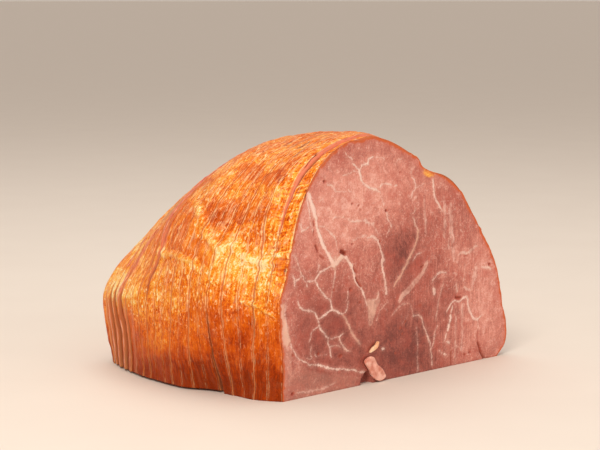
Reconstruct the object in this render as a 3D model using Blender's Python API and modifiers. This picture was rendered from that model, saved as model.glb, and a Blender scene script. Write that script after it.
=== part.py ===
"""Half of a boneless smoked ham, cut through into slices that still stand together.

X runs along the cut face, Y from the cut face into the ham, Z up. Lengths below are in
millimetres; the meshes are in metres. Depth is measured back from the cut face, across is
measured along it from its lower left corner, and level is a share of the section's height.
"""

import math
import random

import bmesh
import bpy
from mathutils import Vector

MM = 0.001

# The slicing: every slice is as thick as the slicer's step, less the gap between two faces
STEP = 6.65
GAP = 0.3
SLICES = 19
FRONT_GROUP = 5
END_DEPTH = 144.5
CUT_CHAMFER = 0.4

# Columns and rows of a slice's grid: the front slice shows its whole outline, so it has more
FRONT_COLUMNS = 6
FRONT_ROWS = 36
COLUMNS = 3
ROWS = 20
END_RINGS = 5

# Levels at which the left outline is given, then one row for each station back from the face:
# depth, height of the crown, and how far across the left side lies at each level
LEVELS = (0.0, 0.17, 0.36, 0.52, 0.68, 0.80, 0.91, 0.98, 1.0)
FACE_STATIONS = (
    (0.0, 126.5, (0.0, -1.0, -2.7, 3.3, 8.0, 14.7, 25.7, 41.8, 59.0)),
    (6.65, 125.8, (-4.4, -4.8, -5.0, -1.0, 4.5, 12.4, 25.7, 42.8, 59.0)),
)
STATIONS = (
    (6.65, 127.4, (-4.4, -4.8, -5.0, -1.5, 4.5, 11.5, 22.5, 43.0, 61.0)),
    (13.3, 127.6, (-7.6, -7.6, -7.8, -3.3, 0.0, 6.7, 22.0, 44.5, 62.0)),
    (33.3, 126.8, (-9.5, -17.0, -20.4, -17.1, -3.8, 7.6, 24.7, 47.5, 66.0)),
    (57.0, 124.5, (-18.8, -22.8, -21.9, -18.0, -8.6, 4.8, 22.8, 47.5, 70.0)),
    (80.8, 118.6, (-18.0, -20.9, -22.3, -14.0, -4.8, 10.2, 31.0, 55.0, 73.5)),
    (104.5, 109.4, (-14.2, -15.6, -19.0, -8.6, 4.2, 20.0, 40.5, 61.5, 75.0)),
    (128.3, 97.9, (-6.5, -10.5, -12.6, -4.2, 16.0, 31.0, 47.5, 64.6, 76.0)),
)
# Depth, and how far across the right side reaches there
RIGHT_REACH = ((0.0, 167.2), (33.0, 163.5), (57.0, 159.5), (81.0, 152.0), (104.5, 142.5), (130.0, 127.0))
# The right outline of the cut face as level and across, with the notch where two muscles meet
RIGHT_OUTLINE = (
    (0.0, 158.7), (0.05, 165.8), (0.10, 167.2), (0.15, 166.7), (0.22, 163.2), (0.33, 160.6),
    (0.43, 155.8), (0.53, 147.7), (0.64, 137.8), (0.73, 129.2), (0.79, 120.7), (0.82, 113.0),
    (0.835, 104.5), (0.86, 98.0), (0.89, 95.5), (0.925, 87.4), (0.96, 78.4), (0.985, 69.4), (1.0, 59.0),
)  # fmt: skip

# The back group stands a little clear of the board along its lower left edge, and its first
# slices curl away from the front group at the foot
UNDERCUT = 1.2
CURL = 2.8
CURL_HEIGHT = 46.0
CURL_DEPTH = 95.0

# How far a slice's front rim stands proud of the slice before it, by slice number
SLIP = 0.35
PROUD = {13: 1.6, 16: 1.2, 17: 1.2, 18: 1.1, 19: 1.0}
JITTER = 0.45
SEED = 7

# A hollow in the foot of the cut face, between two muscles
HOLLOW_OUTLINE = ((55.6, -1.5), (65.6, -1.5), (63.0, 1.8), (58.6, 6.2), (56.4, 2.6))
HOLLOW_DEPTH = 4.6

# The scraps that cling to the foot of the cut face, as outlines across and up
FLAP_OUTLINE = (
    (55.0, 12.3), (58.5, 14.4), (61.6, 13.4), (63.6, 9.8), (66.6, 7.2), (69.7, 4.2),
    (69.9, 1.9), (66.6, 0.7), (63.0, 1.6), (59.6, 4.9), (56.9, 8.6),
)  # fmt: skip
CHIP_OUTLINE = ((58.3, 16.2), (60.0, 18.6), (62.4, 19.6), (64.6, 21.4), (64.0, 18.6), (61.6, 16.9))
SCRAP_THICKNESS = 1.6
SCRAP_ROUNDING = 0.4
SCRAP_STEPS = 3


def smooth_through(points, x):
    """The height at x of a smooth curve through (x, y) points that are in order of x."""
    if x <= points[0][0]:
        return points[0][1]
    if x >= points[-1][0]:
        return points[-1][1]
    slopes = [(b[1] - a[1]) / (b[0] - a[0]) for a, b in zip(points, points[1:])]
    at = next(i for i in range(len(slopes)) if x <= points[i + 1][0])

    def tangent(i):
        if i in (0, len(slopes)):
            return slopes[min(i, len(slopes) - 1)]
        before, after = slopes[i - 1], slopes[i]
        return 2 * before * after / (before + after) if before * after > 0 else 0.0

    (x0, y0), (x1, y1) = points[at], points[at + 1]
    width = x1 - x0
    t = (x - x0) / width
    hermite = (1 + 2 * t) * (1 - t) ** 2 * y0 + t * t * (3 - 2 * t) * y1
    return hermite + width * (t * (1 - t) ** 2 * tangent(at) - t * t * (1 - t) * tangent(at + 1))


def left_side(stations, depth, level):
    """How far across the ham's left side lies, at a depth and a level."""
    return smooth_through(
        [(d, smooth_through(list(zip(LEVELS, across)), level)) for d, _, across in stations], depth
    )


def crown_height(stations, depth):
    return smooth_through([(d, height) for d, height, _ in stations], depth)


def right_side(stations, depth, level):
    """The cut face's right outline, stretched between the crown and the reach at that depth."""
    crown = left_side(stations, depth, 1.0)
    reach = smooth_through(RIGHT_REACH, depth)
    front_crown, front_reach = RIGHT_OUTLINE[-1][1], RIGHT_REACH[0][1]
    share = (smooth_through(RIGHT_OUTLINE, level) - front_crown) / (front_reach - front_crown)
    return crown + share * (reach - crown)


def curled(depth, height):
    """The depth after the foot of the back group has curled away from the front group."""
    behind = depth - FRONT_GROUP * STEP
    if behind < 0 or height > CURL_HEIGHT:
        return depth
    fade = max(0.0, 1 - behind / CURL_DEPTH)
    return depth + CURL * fade * (1 - height / CURL_HEIGHT) ** 2


def slip(number, level):
    """How far a slice's left side lies out from the ham's own line."""
    proud = PROUD.get(number, 0.0) * math.sin(math.pi * min(1.0, 0.15 + level))
    return SLIP + proud


def section_point(stations, number, depth, column, row, columns, rows, outward):
    """A point of a slice's face. Outward is how far its left side is pushed out there."""
    level = math.sin(0.5 * math.pi * row / rows)
    height = crown_height(stations, depth) * level
    left = left_side(stations, depth, level) - outward * (1 - level**4)
    right = right_side(stations, depth, level)
    if row == rows:
        left, right = left - 2.5, right + 2.5
    if row == 0 and column == 0 and number > FRONT_GROUP:
        height = UNDERCUT
    across = left + (right - left) * column / columns
    return across, curled(depth, height), height


def finish_mesh(bm, name, material):
    """Makes an object of the mesh, in metres, with its faces pointing out."""
    bmesh.ops.recalc_face_normals(bm, faces=bm.faces)
    bmesh.ops.scale(bm, vec=(MM, MM, MM), verts=bm.verts)
    mesh = bpy.data.meshes.new(name)
    bm.to_mesh(mesh)
    bm.free()
    piece = bpy.data.objects.new(name, mesh)
    ham.objects.link(piece)
    mesh.materials.append(material)
    return piece


def chamfer_cuts(piece):
    bevel = piece.modifiers.new("cut edges", "BEVEL")
    bevel.width = CUT_CHAMFER * MM
    bevel.segments = 1
    bevel.limit_method = "ANGLE"
    bevel.angle_limit = math.radians(50)


def slab(name, number, sections, columns, rows, material):
    """A solid lofted through sections, from front to back. Each is (stations, depth, outward, shrink):
    a shrink under 1 draws the section in towards its own middle, for the rounded end."""
    bm = bmesh.new()
    grid = bmesh.ops.create_grid(bm, x_segments=columns, y_segments=rows, size=1)["verts"]
    place = {v: (round((v.co.x + 1) / 2 * columns), round((v.co.y + 1) / 2 * rows)) for v in grid}
    layers = [place]
    for _ in sections[1:]:
        front = list({f for v in layers[-1] for f in v.link_faces if all(u in layers[-1] for u in f.verts)})
        grown = bmesh.ops.extrude_face_region(bm, geom=front, use_keep_orig=len(layers) == 1)["geom"]
        raised = [v for v in grown if isinstance(v, bmesh.types.BMVert)]
        layers.append({v: (round((v.co.x + 1) / 2 * columns), round((v.co.y + 1) / 2 * rows)) for v in raised})
        if len(layers) > 2:
            bmesh.ops.delete(bm, geom=[f for f in front if f.is_valid], context="FACES_ONLY")
    for layer, (stations, depth, outward, shrink) in zip(layers, sections):
        middle = 0.5 * (left_side(stations, depth, 0.4) + right_side(stations, depth, 0.4))
        half_height = 0.45 * crown_height(stations, depth)
        for vertex, (column, row) in layer.items():
            x, y, z = section_point(stations, number, depth, column, row, columns, rows, outward(row / rows))
            x = middle + (x - middle) * shrink
            z = half_height + (z - half_height) * shrink
            vertex.co = (x, y, z)
    return finish_mesh(bm, name, material)


def make_slice(number, material):
    stations = FACE_STATIONS if number == 1 else STATIONS
    front_depth = (number - 1) * STEP + (GAP / 2 if number > 1 else 0.0)
    back_depth = number * STEP - GAP / 2
    sideways = draw.uniform(-JITTER, JITTER)

    def front_out(level):
        return sideways + slip(number, level)

    def back_out(level):
        return sideways - slip(number, level)

    if number == 1:
        front_out = back_out = lambda level: 0.0
    columns, rows = (FRONT_COLUMNS, FRONT_ROWS) if number == 1 else (COLUMNS, ROWS)
    sections = [(stations, front_depth, front_out, 1.0), (stations, back_depth, back_out, 1.0)]
    piece = slab(f"slice_{number:02d}", number, sections, columns, rows, material)
    chamfer_cuts(piece)
    return piece


def make_end_piece(material):
    """The uncut end of the ham, behind the last slice: its skin rounds over to the back."""
    start = SLICES * STEP + GAP / 2
    sections = []
    for ring in range(END_RINGS + 1):
        turn = 0.46 * math.pi * ring / END_RINGS
        depth = start + (END_DEPTH - start) * math.sin(turn)
        shrink = 1.0 if ring == 0 else 0.30 + 0.70 * math.cos(turn)
        sections.append((STATIONS, depth, lambda level: 0.0, shrink))
    return slab("end_piece", SLICES + 1, sections, COLUMNS, ROWS, material)


def rounded_outline(outline, steps):
    """The closed outline with points added, on a smooth curve through its corners."""
    points = []
    count = len(outline)
    for i in range(count):
        before, here, after, later = (Vector(outline[(i + k) % count]) for k in (-1, 0, 1, 2))
        for step in range(steps):
            t = step / steps
            pull = (after - before) * t + (2 * before - 5 * here + 4 * after - later) * t**2
            points.append(here + 0.5 * (pull + (3 * here - before - 3 * after + later) * t**3))
    return points


def prism(outline, near, far):
    """A block with this outline on the cut face's plane, between two depths."""
    bm = bmesh.new()
    corners = bmesh.ops.create_circle(bm, cap_ends=True, segments=len(outline), radius=1)["verts"]
    for corner, (across, up) in zip(corners, outline):
        corner.co = (across, near, up)
    pushed = bmesh.ops.extrude_face_region(bm, geom=list(bm.faces), use_keep_orig=True)["geom"]
    pushed = [v for v in pushed if isinstance(v, bmesh.types.BMVert)]
    bmesh.ops.translate(bm, vec=(0, far - near, 0), verts=pushed)
    return bm


def cut_hollow(piece):
    """Cuts the hollow into the foot of the front slice."""
    block = prism(HOLLOW_OUTLINE, -1.0, HOLLOW_DEPTH)
    cutter = finish_mesh(block, "hollow_cutter", piece.data.materials[0])
    cutter.hide_render = True
    cut = piece.modifiers.new("hollow", "BOOLEAN")
    cut.operation = "DIFFERENCE"
    cut.solver = "EXACT"
    cut.object = cutter
    return cutter


def make_scrap(name, outline, material):
    """A thin scrap of meat standing against the cut face."""
    block = prism(rounded_outline(outline, SCRAP_STEPS), -GAP - SCRAP_THICKNESS, -GAP)
    piece = finish_mesh(block, name, material)
    bevel = piece.modifiers.new("rounding", "BEVEL")
    bevel.width = SCRAP_ROUNDING * MM
    bevel.segments = 2
    bevel.limit_method = "ANGLE"
    bevel.angle_limit = math.radians(50)
    return piece


def make_material(name, colour, roughness):
    material = bpy.data.materials.new(name)
    material.use_nodes = True
    shader = material.node_tree.nodes["Principled BSDF"]
    shader.inputs["Base Color"].default_value = (*colour, 1.0)
    shader.inputs["Roughness"].default_value = roughness
    shader.inputs["Metallic"].default_value = 0.0
    return material


def stand_on_origin(pieces, *helpers):
    """Moves the pieces so that the origin is under the middle of the whole ham, on the board."""
    bpy.context.view_layer.update()
    graph = bpy.context.evaluated_depsgraph_get()
    corners = []
    for piece in pieces:
        evaluated = piece.evaluated_get(graph)
        corners += [evaluated.matrix_world @ v.co for v in evaluated.to_mesh().vertices]
        evaluated.to_mesh_clear()
    low = Vector(min(c[axis] for c in corners) for axis in range(3))
    high = Vector(max(c[axis] for c in corners) for axis in range(3))
    shift = Vector((-(low.x + high.x) / 2, -(low.y + high.y) / 2, -low.z))
    for piece in (*pieces, *helpers):
        piece.location += shift


for old in list(bpy.data.objects):
    bpy.data.objects.remove(old)
ham = bpy.data.collections.new("sliced_ham")
bpy.context.scene.collection.children.link(ham)
draw = random.Random(SEED)

skin = make_material("smoked skin", (0.72, 0.30, 0.07), 0.45)
meat = make_material("cured meat", (0.63, 0.30, 0.26), 0.4)

parts = [make_slice(number, meat if number == 1 else skin) for number in range(1, SLICES + 1)]
parts.append(make_end_piece(skin))
parts.append(make_scrap("meat_flap", FLAP_OUTLINE, meat))
parts.append(make_scrap("fat_chip", CHIP_OUTLINE, meat))
hollow = cut_hollow(parts[0])
stand_on_origin(parts, hollow)
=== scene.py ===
"""The looks of half a boneless smoked ham, cut through into slices that still stand together.

Every slice is built again from the outlines that its solid has, with far more points: the skin
gets its lumps, wrinkles and rounded cut edges, and the cut face its fat, fibres and holes.
Lengths are in millimetres until a mesh is written. Across runs along the cut face from its
lower left corner, depth runs back from the cut face, and height is above the floor.
"""

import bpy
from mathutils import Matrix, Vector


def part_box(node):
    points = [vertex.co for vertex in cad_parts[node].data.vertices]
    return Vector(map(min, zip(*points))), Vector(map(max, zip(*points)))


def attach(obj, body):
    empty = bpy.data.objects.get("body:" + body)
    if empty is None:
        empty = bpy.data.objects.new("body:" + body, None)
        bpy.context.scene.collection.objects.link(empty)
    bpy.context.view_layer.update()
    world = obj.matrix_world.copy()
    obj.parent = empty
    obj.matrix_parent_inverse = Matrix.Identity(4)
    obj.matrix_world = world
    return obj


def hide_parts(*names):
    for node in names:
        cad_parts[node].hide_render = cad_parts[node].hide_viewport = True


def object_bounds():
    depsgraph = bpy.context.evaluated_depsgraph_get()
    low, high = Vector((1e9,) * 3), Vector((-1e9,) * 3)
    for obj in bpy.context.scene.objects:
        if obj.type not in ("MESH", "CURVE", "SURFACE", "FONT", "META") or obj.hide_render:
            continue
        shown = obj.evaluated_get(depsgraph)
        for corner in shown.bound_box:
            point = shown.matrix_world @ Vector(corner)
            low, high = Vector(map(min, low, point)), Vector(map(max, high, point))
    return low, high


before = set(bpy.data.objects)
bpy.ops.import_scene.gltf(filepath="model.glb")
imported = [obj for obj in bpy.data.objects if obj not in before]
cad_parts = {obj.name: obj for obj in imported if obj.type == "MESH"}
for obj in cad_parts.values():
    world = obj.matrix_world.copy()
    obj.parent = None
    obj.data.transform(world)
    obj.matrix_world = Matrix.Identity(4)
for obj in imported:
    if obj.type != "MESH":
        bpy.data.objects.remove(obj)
cad_box = [list(corner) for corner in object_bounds()]

import math
from types import SimpleNamespace
import random

import bmesh
import bpy
import numpy as np
from mathutils import Vector
from mathutils.kdtree import KDTree

MM = 0.001

# ---------------------------------------------------------------- the ham's own measures
# From cut to cut, the solids' gap between slices, how many slices, and how many stand upright
STEP = 6.65
GAP = 0.3
SLICES = 19
FRONT_GROUP = 5
# The uncut end: how deep it reaches, how far it turns over, and how narrow it gets
END_DEPTH = 144.5
END_TURN = 0.46 * math.pi
END_NARROW = 0.30
# A station is its depth, the crown's height, and how far across the left side lies at each level
LEVELS = (0.0, 0.17, 0.36, 0.52, 0.68, 0.80, 0.91, 0.98, 1.0)
FACE_STATIONS = (
    (0.0, 126.5, (0.0, -1.0, -2.7, 3.3, 8.0, 14.7, 25.7, 41.8, 59.0)),
    (6.65, 125.8, (-4.4, -4.8, -5.0, -1.0, 4.5, 12.4, 25.7, 42.8, 59.0)),
)
STATIONS = (
    (6.65, 127.4, (-4.4, -4.8, -5.0, -1.5, 4.5, 11.5, 22.5, 43.0, 61.0)),
    (13.3, 127.6, (-7.6, -7.6, -7.8, -3.3, 0.0, 6.7, 22.0, 44.5, 62.0)),
    (33.3, 126.8, (-9.5, -17.0, -20.4, -17.1, -3.8, 7.6, 24.7, 47.5, 66.0)),
    (57.0, 124.5, (-18.8, -22.8, -21.9, -18.0, -8.6, 4.8, 22.8, 47.5, 70.0)),
    (80.8, 118.6, (-18.0, -20.9, -22.3, -14.0, -4.8, 10.2, 31.0, 55.0, 73.5)),
    (104.5, 109.4, (-14.2, -15.6, -19.0, -8.6, 4.2, 20.0, 40.5, 61.5, 75.0)),
    (128.3, 97.9, (-6.5, -10.5, -12.6, -4.2, 16.0, 31.0, 47.5, 64.6, 76.0)),
)
# How far across the right side reaches at a depth, and its outline as level and across
RIGHT_REACH = ((0.0, 167.2), (33.0, 163.5), (57.0, 159.5), (81.0, 152.0), (104.5, 142.5), (130.0,
        127.0))
RIGHT_OUTLINE = (
    (0.0, 158.7), (0.05, 165.8), (0.10, 167.2), (0.15, 166.7), (0.22, 163.2), (0.33, 160.6),
    (0.43, 155.8), (0.53, 147.7), (0.64, 137.8), (0.73, 129.2), (0.79, 120.7), (0.82, 113.0),
    (0.835, 104.5), (0.86, 98.0), (0.89, 95.5), (0.925, 87.4), (0.96, 78.4), (0.985, 69.4),
    (1.0, 59.0),
)  # fmt: skip
# The outline spreads a little just under the crown, and the skin stands out from the heart
CROWN_START = 0.985
CROWN_SPREAD = 2.5
HEART_ACROSS = 75.0
HEART_HEIGHT = 45.0
# The foot of the back group is lifted a little, and curls away from the front group
UNDERCUT = 1.2
CURL = 2.8
CURL_HEIGHT = 46.0
CURL_DEPTH = 95.0
# How far a slice stands proud of the one before it, and which ones stand further out
SLIP = 0.12
PROUD = {13: 1.6, 16: 1.2, 17: 1.2, 18: 1.1, 19: 1.0}
# How far the stepped slices bare their meat, low down on the left, which also sets the painted
# shadow at the foot of each step, and where that fades, in height and around the outline
STEPPED = {15: 0.3, 16: 0.7, 17: 1.0, 18: 1.0, 19: 1.0}
STEPPED_BELOW = (42, 32)
STEPPED_AROUND = (75, 60)
# Across the ham, where the near side gives way to the far one
NEAR_SIDE = (98, 74)
# Each slice is shifted and tinted a little by chance, and has a pattern of its own
JITTER = 0.45
TINT = 0.035
OWN_PATTERN = 3.7
SEED = 7
# Columns and rows of points over the first slice, the others and the end, and the end's layers
FACE_GRID = (330, 250)
SLICE_GRID = (24, 250)
END_GRID = (60, 110, 22)

# Where the solids stand: the lower left corner of the cut face, in the row's frame
low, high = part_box("slice_01")
CORNER_X = high.x / MM - 167.2
CORNER_Y = low.y / MM

# ---------------------------------------------------------------- the drawing of the cut face
# It is drawn at 1.051 times life size. Each strand of fat is its width, how white it is, how tan
# it is, and the points it runs through, as across and up. Strands whiter than 1 are painted
# highlights: the wet glints on the meat, drawn as if they were fat.
DRAWN = 133.0 / 126.5
FAT_AND_GLINTS = (
    (2.7, 1.0, 0.0, ((16.5, 107.5), (18.6, 103.5), (20.8, 99), (22.3, 95), (23.4, 91))),
    (1.9, 1.0, 0.0, ((23, 92), (24, 88.5), (25.2, 85), (26.8, 81.5), (28.8, 78), (31.2, 74.6))),
    (2.3, 1.0, 0.0, ((30.5, 75.6), (33, 71.8), (34.8, 68.8), (36.6, 66))),
    (2.7, 0.95, 0.1, ((34.6, 66.4), (38, 67.6), (40.6, 69.6), (43.4, 70.6), (46.2, 69))),
    (2.0, 0.95, 0.1, ((45.6, 69.4), (48, 66.6), (49.6, 63.6), (51, 60), (52.8, 56.4),
         (54.4, 53.4))),
    (1.3, 0.9, 0.1, ((54.2, 53.6), (57.2, 50.8), (58.8, 48), (60.2, 45), (61.2, 42))),
    (0.9, 0.9, 0.0, ((16, 104.6), (17.8, 100), (18.8, 95.6), (19, 91.6), (20, 88), (21.4, 84.6))),
    (1.1, 0.8, 0.0, ((11.5, 91.4), (12.8, 89.2), (13.4, 87), (15.2, 87.6), (17.6, 88.4))),
    (0.9, 0.8, 0.0, ((24.8, 88.8), (28.6, 88.2), (31, 86.6), (33.2, 84.4), (36, 82), (37.2, 79.4),
         (38.8, 76.4))),
    (0.6, 0.6, 0.0, ((30.4, 93.2), (34, 92.4))),
    (0.8, 0.6, 0.0, ((34.6, 91), (37.6, 91.9), (41.6, 91.4), (45, 90.6))),
    (1.0, 0.8, 0.0, ((46.6, 91), (48.6, 88.4), (53, 88.8), (58, 88.3), (61, 86.5), (66.2, 86))),
    (0.8, 0.8, 0.0, ((58.6, 88.8), (60.4, 87.6), (62, 85.4))),
    (0.9, 0.8, 0.0, ((31, 109.2), (34.6, 108.4), (37, 105.6), (41.6, 105), (44.6, 104.4))),
    (0.8, 0.7, 0.0, ((45.8, 105.6), (48.6, 103.8))),
    (0.6, 0.5, 0.0, ((24.6, 101.2), (28.6, 102.2))),
    (0.7, 0.8, 0.0, ((44.2, 126.2), (46.2, 123.2), (49, 120.4))),
    (1.0, 0.9, 0.0, ((49.4, 119), (52.4, 117.4), (54.6, 114.6))),
    (1.5, 1.0, 0.0, ((54.2, 116.2), (54.6, 113.8), (55.8, 110.8), (58.2, 107.6))),
    (1.2, 1.0, 0.0, ((54.4, 115), (57.2, 117.4), (60.2, 118), (61.4, 120.8), (64.2, 121.8))),
    (0.9, 0.8, 0.0, ((57.4, 119.4), (59.8, 117.8), (61.6, 117.6))),
    (0.7, 0.8, 0.0, ((42, 113.2), (47, 113.6), (51, 114.6), (54.4, 114.4))),
    (1.3, 0.9, 0.0, ((57.6, 108), (62, 105.6), (66, 104.2), (69.6, 102.4))),
    (0.7, 0.6, 0.0, ((69.4, 102.4), (72, 98), (73.2, 95))),
    (1.1, 0.8, 0.0, ((75, 91), (76, 88), (78, 85.2), (78.8, 82.6))),
    (0.8, 0.6, 0.0, ((77.4, 81), (75.8, 78.6))),
    (1.2, 0.7, 0.0, ((70.4, 105.4), (73.4, 107), (78, 106))),
    (1.4, 0.7, 0.0, ((81, 104.6), (83, 105.6))),
    (0.9, 0.5, 0.0, ((81.4, 116), (83.2, 118.8), (85.6, 119.6))),
    (0.6, 0.7, 0.0, ((32, 119.2), (33.6, 117), (35.2, 115.4))),
    (0.8, 0.8, 0.0, ((4.8, 75.6), (8.2, 74.4), (10.4, 71), (12, 67.6), (13.2, 63.8))),
    (1.1, 0.85, 0.0, ((9, 61.6), (11, 62.2), (13.4, 63.6), (15, 61.6), (17, 60.3), (20, 60),
         (22.8, 60.3))),
    (0.9, 0.8, 0.0, ((7.2, 64.4), (8.6, 61.8), (8.8, 58.6))),
    (1.0, 0.8, 0.0, ((16.6, 60.4), (17, 57.6))),
    (1.2, 0.9, 0.0, ((22.6, 60.2), (24.2, 62.2), (26, 64), (29.6, 65), (33.4, 66.2))),
    (1.2, 0.9, 0.0, ((22.6, 60.2), (24.2, 57.8), (26.2, 54.8), (28.4, 52.2), (30.4, 50.5),
         (32.4, 50))),
    (1.1, 0.85, 0.0, ((32, 50.2), (33.6, 47.8), (34, 45.2), (34.6, 43.4))),
    (0.8, 0.7, 0.0, ((37, 64), (36.6, 61), (35.6, 57), (34.6, 52.4), (33.4, 49))),
    (1.0, 0.85, 0.0, ((10.8, 51.6), (11.2, 48.6), (13.2, 46.8), (16, 45.4), (19, 45), (21, 44.2),
         (22.6, 42.4), (24, 40.6), (25.6, 39.2))),
    (1.2, 0.9, 0.0, ((25.4, 39.2), (28, 41), (31, 42.3), (34.2, 43.4), (37, 42.5), (40, 41.2),
         (43.2, 40))),
    (1.0, 0.85, 0.0, ((43, 40.2), (45, 41.2), (46.2, 43.2), (46.4, 46.2))),
    (1.7, 0.7, 0.8, ((43, 40), (45.2, 37), (47.2, 33.4), (49.2, 30), (51.2, 27), (53.4, 24.4),
         (55.4, 22.4))),
    (1.1, 0.85, 0.0, ((25.4, 39.4), (25.6, 36.6), (27.2, 34), (29.2, 31.4), (31.2, 29.4),
         (32.8, 28.8))),
    (0.9, 0.7, 0.0, ((25.2, 36.2), (23, 34.6), (21, 34.4))),
    (0.8, 0.6, 0.0, ((22.4, 34.6), (19.8, 32), (18.6, 28.8))),
    (0.8, 0.8, 0.0, ((32, 29), (34.6, 28.6), (38, 28.8), (40.2, 28.4), (41.6, 29.4), (43.2, 30))),
    (1.3, 0.75, 0.4, ((40.2, 28.4), (41, 26), (43, 23.2), (45.2, 21.2), (48.2, 20))),
    (0.9, 0.8, 0.0, ((32, 28.8), (31.8, 26), (33, 24.4), (33.4, 21.2), (34.8, 18.4))),
    (0.8, 0.7, 0.3, ((33, 24.6), (36, 24.2), (39, 23.5), (41.4, 22.8))),
    (0.7, 0.6, 0.0, ((22, 22.6), (23.6, 20.6), (27, 20.6), (31, 20.2))),
    (0.7, 0.6, 0.0, ((22, 19.2), (23, 17.2), (25, 16))),
    (1.0, 0.75, 0.0, ((2.2, 50), (2.2, 44), (3.2, 38), (5, 31), (7.4, 25.6), (10, 22), (14, 19),
         (18, 17.1))),
    (1.2, 1.0, 0.0, ((18, 17.1), (23, 15.5), (28, 14.2), (33, 12.8), (38, 11.4), (43, 10.4),
         (48, 9.6))),
    (1.0, 0.8, 0.0, ((48, 9.6), (52, 8.5), (56, 7.3), (59.4, 6.4))),
    (0.8, 0.5, 0.0, ((14, 20.6), (18, 19.9), (21, 18.9))),
    (1.4, 0.85, 0.1, ((61, 79), (64.4, 79.2), (67.6, 77.2), (70, 73.6), (71.6, 70), (72.6, 66.4),
         (72.2, 62))),
    (0.9, 0.45, 0.0, ((50, 78.4), (54.6, 79.6), (58.4, 80.6))),
    (1.7, 0.85, 0.2, ((72.2, 66), (72.4, 61.6), (73.4, 57.6), (74.6, 53.4), (75.4, 49.4),
         (76, 46.6))),
    (2.4, 0.8, 0.2, ((72.8, 65), (73.8, 65.6))),
    (2.6, 0.85, 0.1, ((75.2, 47.6), (76, 46.6))),
    (1.0, 0.6, 0.2, ((69.6, 49.4), (68.6, 46.2), (66, 44.6), (61.6, 44.4))),
    (5.6, 0.5, 0.7, ((63.4, 43.6), (64.8, 40.4), (64.4, 36.6))),
    (3.2, 0.35, 0.6, ((64.2, 37), (63.4, 31.6))),
    (0.7, 0.5, 0.2, ((77.4, 42.6), (73.4, 40.6), (70.2, 37.8), (68, 33.8))),
    (1.7, 0.8, 0.9, ((100, 80), (99.2, 75.6), (97.6, 71.4), (94.6, 66.8), (91, 62.2), (87, 57.6),
         (83.6, 53.2), (81, 50.4))),
    (0.9, 0.8, 0.3, ((95.8, 86.4), (97.4, 83.2), (99.6, 80.4), (100, 77.6))),
    (0.9, 0.8, 0.0, ((94.6, 113.2), (94, 110.4), (96, 107.4), (97.6, 105), (97.6, 102.4),
         (95.2, 100.4), (94.4, 97.8))),
    (0.8, 0.7, 0.0, ((98, 102.6), (101, 103.7), (104.4, 104.4))),
    (0.8, 0.7, 0.0, ((97.6, 92.2), (96.6, 89.6), (94.8, 89))),
    (1.4, 0.85, 0.1, ((111.4, 106.4), (112, 102), (112.2, 98.4), (114, 95), (116.6, 91.4),
         (119.2, 87.8))),
    (1.0, 0.7, 0.0, ((95.8, 62.6), (98.6, 65.8), (103.2, 67))),
    (3.4, 0.42, 0.5, ((85.2, 41.4), (88, 44.6), (92, 47), (96.4, 50), (101, 53), (105, 57),
         (107.4, 61))),
    (1.0, 0.5, 0.3, ((80, 35), (84, 38), (88, 40), (92, 40.2), (94.2, 38.8), (95.6, 35.2),
         (96.2, 32.6))),
    (1.1, 0.75, 0.2, ((96, 32.6), (99.2, 32.5), (101.2, 31.4), (103.2, 29.4), (105, 25.6),
         (107, 21.6), (109, 17.6), (111.2, 12.4))),
    (1.2, 0.7, 0.2, ((111.2, 13.4), (111.6, 8), (112, 2.6))),
    (1.0, 0.6, 0.3, ((111.4, 12), (113.4, 16), (114.6, 20.4), (116.2, 25.4))),
    (0.9, 0.35, 0.2, ((100.8, 0), (100.6, 10), (100.8, 19))),
    (1.1, 0.8, 0.1, ((112, 48.8), (113.2, 51.6), (116, 53.5), (119.2, 54.1), (123.4, 53.7))),
    (2.9, 0.75, 0.2, ((113.6, 46), (113.9, 42.2))),
    (0.9, 0.45, 0.3, ((121.2, 48.6), (119.2, 44), (117.2, 39), (116, 34), (115, 28))),
    (1.2, 0.9, 0.0, ((123.4, 31), (125.2, 33.2), (128, 35.5), (131, 36.7), (134.2, 36.1),
         (137, 37.8), (139.4, 38))),
    (1.6, 0.9, 0.0, ((139, 38.2), (141, 36.6), (142, 32.4), (143.6, 28), (146, 24.7), (149, 23.6),
         (152.2, 25.4))),
    (0.8, 0.5, 0.0, ((149.8, 23.4), (149.8, 18.4))),
    (1.0, 0.7, 0.2, ((131.8, 46.8), (132.5, 42))),
    (1.8, 0.45, 0.1, ((138, 43.8), (141, 41.6), (144.4, 42))),
    (1.2, 0.4, 0.1, ((145, 44.6), (149.2, 49.4))),
    (1.6, 0.6, 0.3, ((132.4, 62), (135.6, 63.6), (139.8, 62.6), (144, 64), (147, 65.5),
         (149.4, 65.8))),
    (1.5, 0.55, 0.1, ((152.6, 53.2), (157, 53), (160.6, 51.8))),
    (1.6, 0.5, 0.1, ((127.4, 77.4), (128.6, 73.4), (129.4, 69.6))),
    (1.4, 0.35, 0.1, ((124.2, 72), (124.8, 65.6))),
    (1.5, 0.3, 0.1, ((134, 76.4), (137.2, 72.4))),
    (1.0, 0.35, 0.1, ((117.6, 106), (120, 103), (120.8, 100.4))),
    (1.2, 0.35, 0.1, ((9.6, 3.2), (20, 2.4), (30, 2.9), (37.4, 4.6))),
    (0.8, 0.3, 0.1, ((20.8, 5.8), (23.4, 8.4))),
    (1.1, 0.35, 0.2, ((137.8, 57.6), (138.6, 51.2), (137.4, 47.4))),
    (0.7, 0.35, 0.2, ((93.2, 36.8), (91.2, 33), (88.6, 29.6))),
    (1.6, 0.9, 0.0, ((72.4, 17.8), (73.6, 17.2))),
    (0.9, 0.5, 0.1, ((61.4, 87.2), (66.8, 83.6), (69.2, 80))),
    (1.8, 0.3, 0.1, ((131.2, 36), (131, 24), (131.4, 10), (131, -1))),
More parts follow.
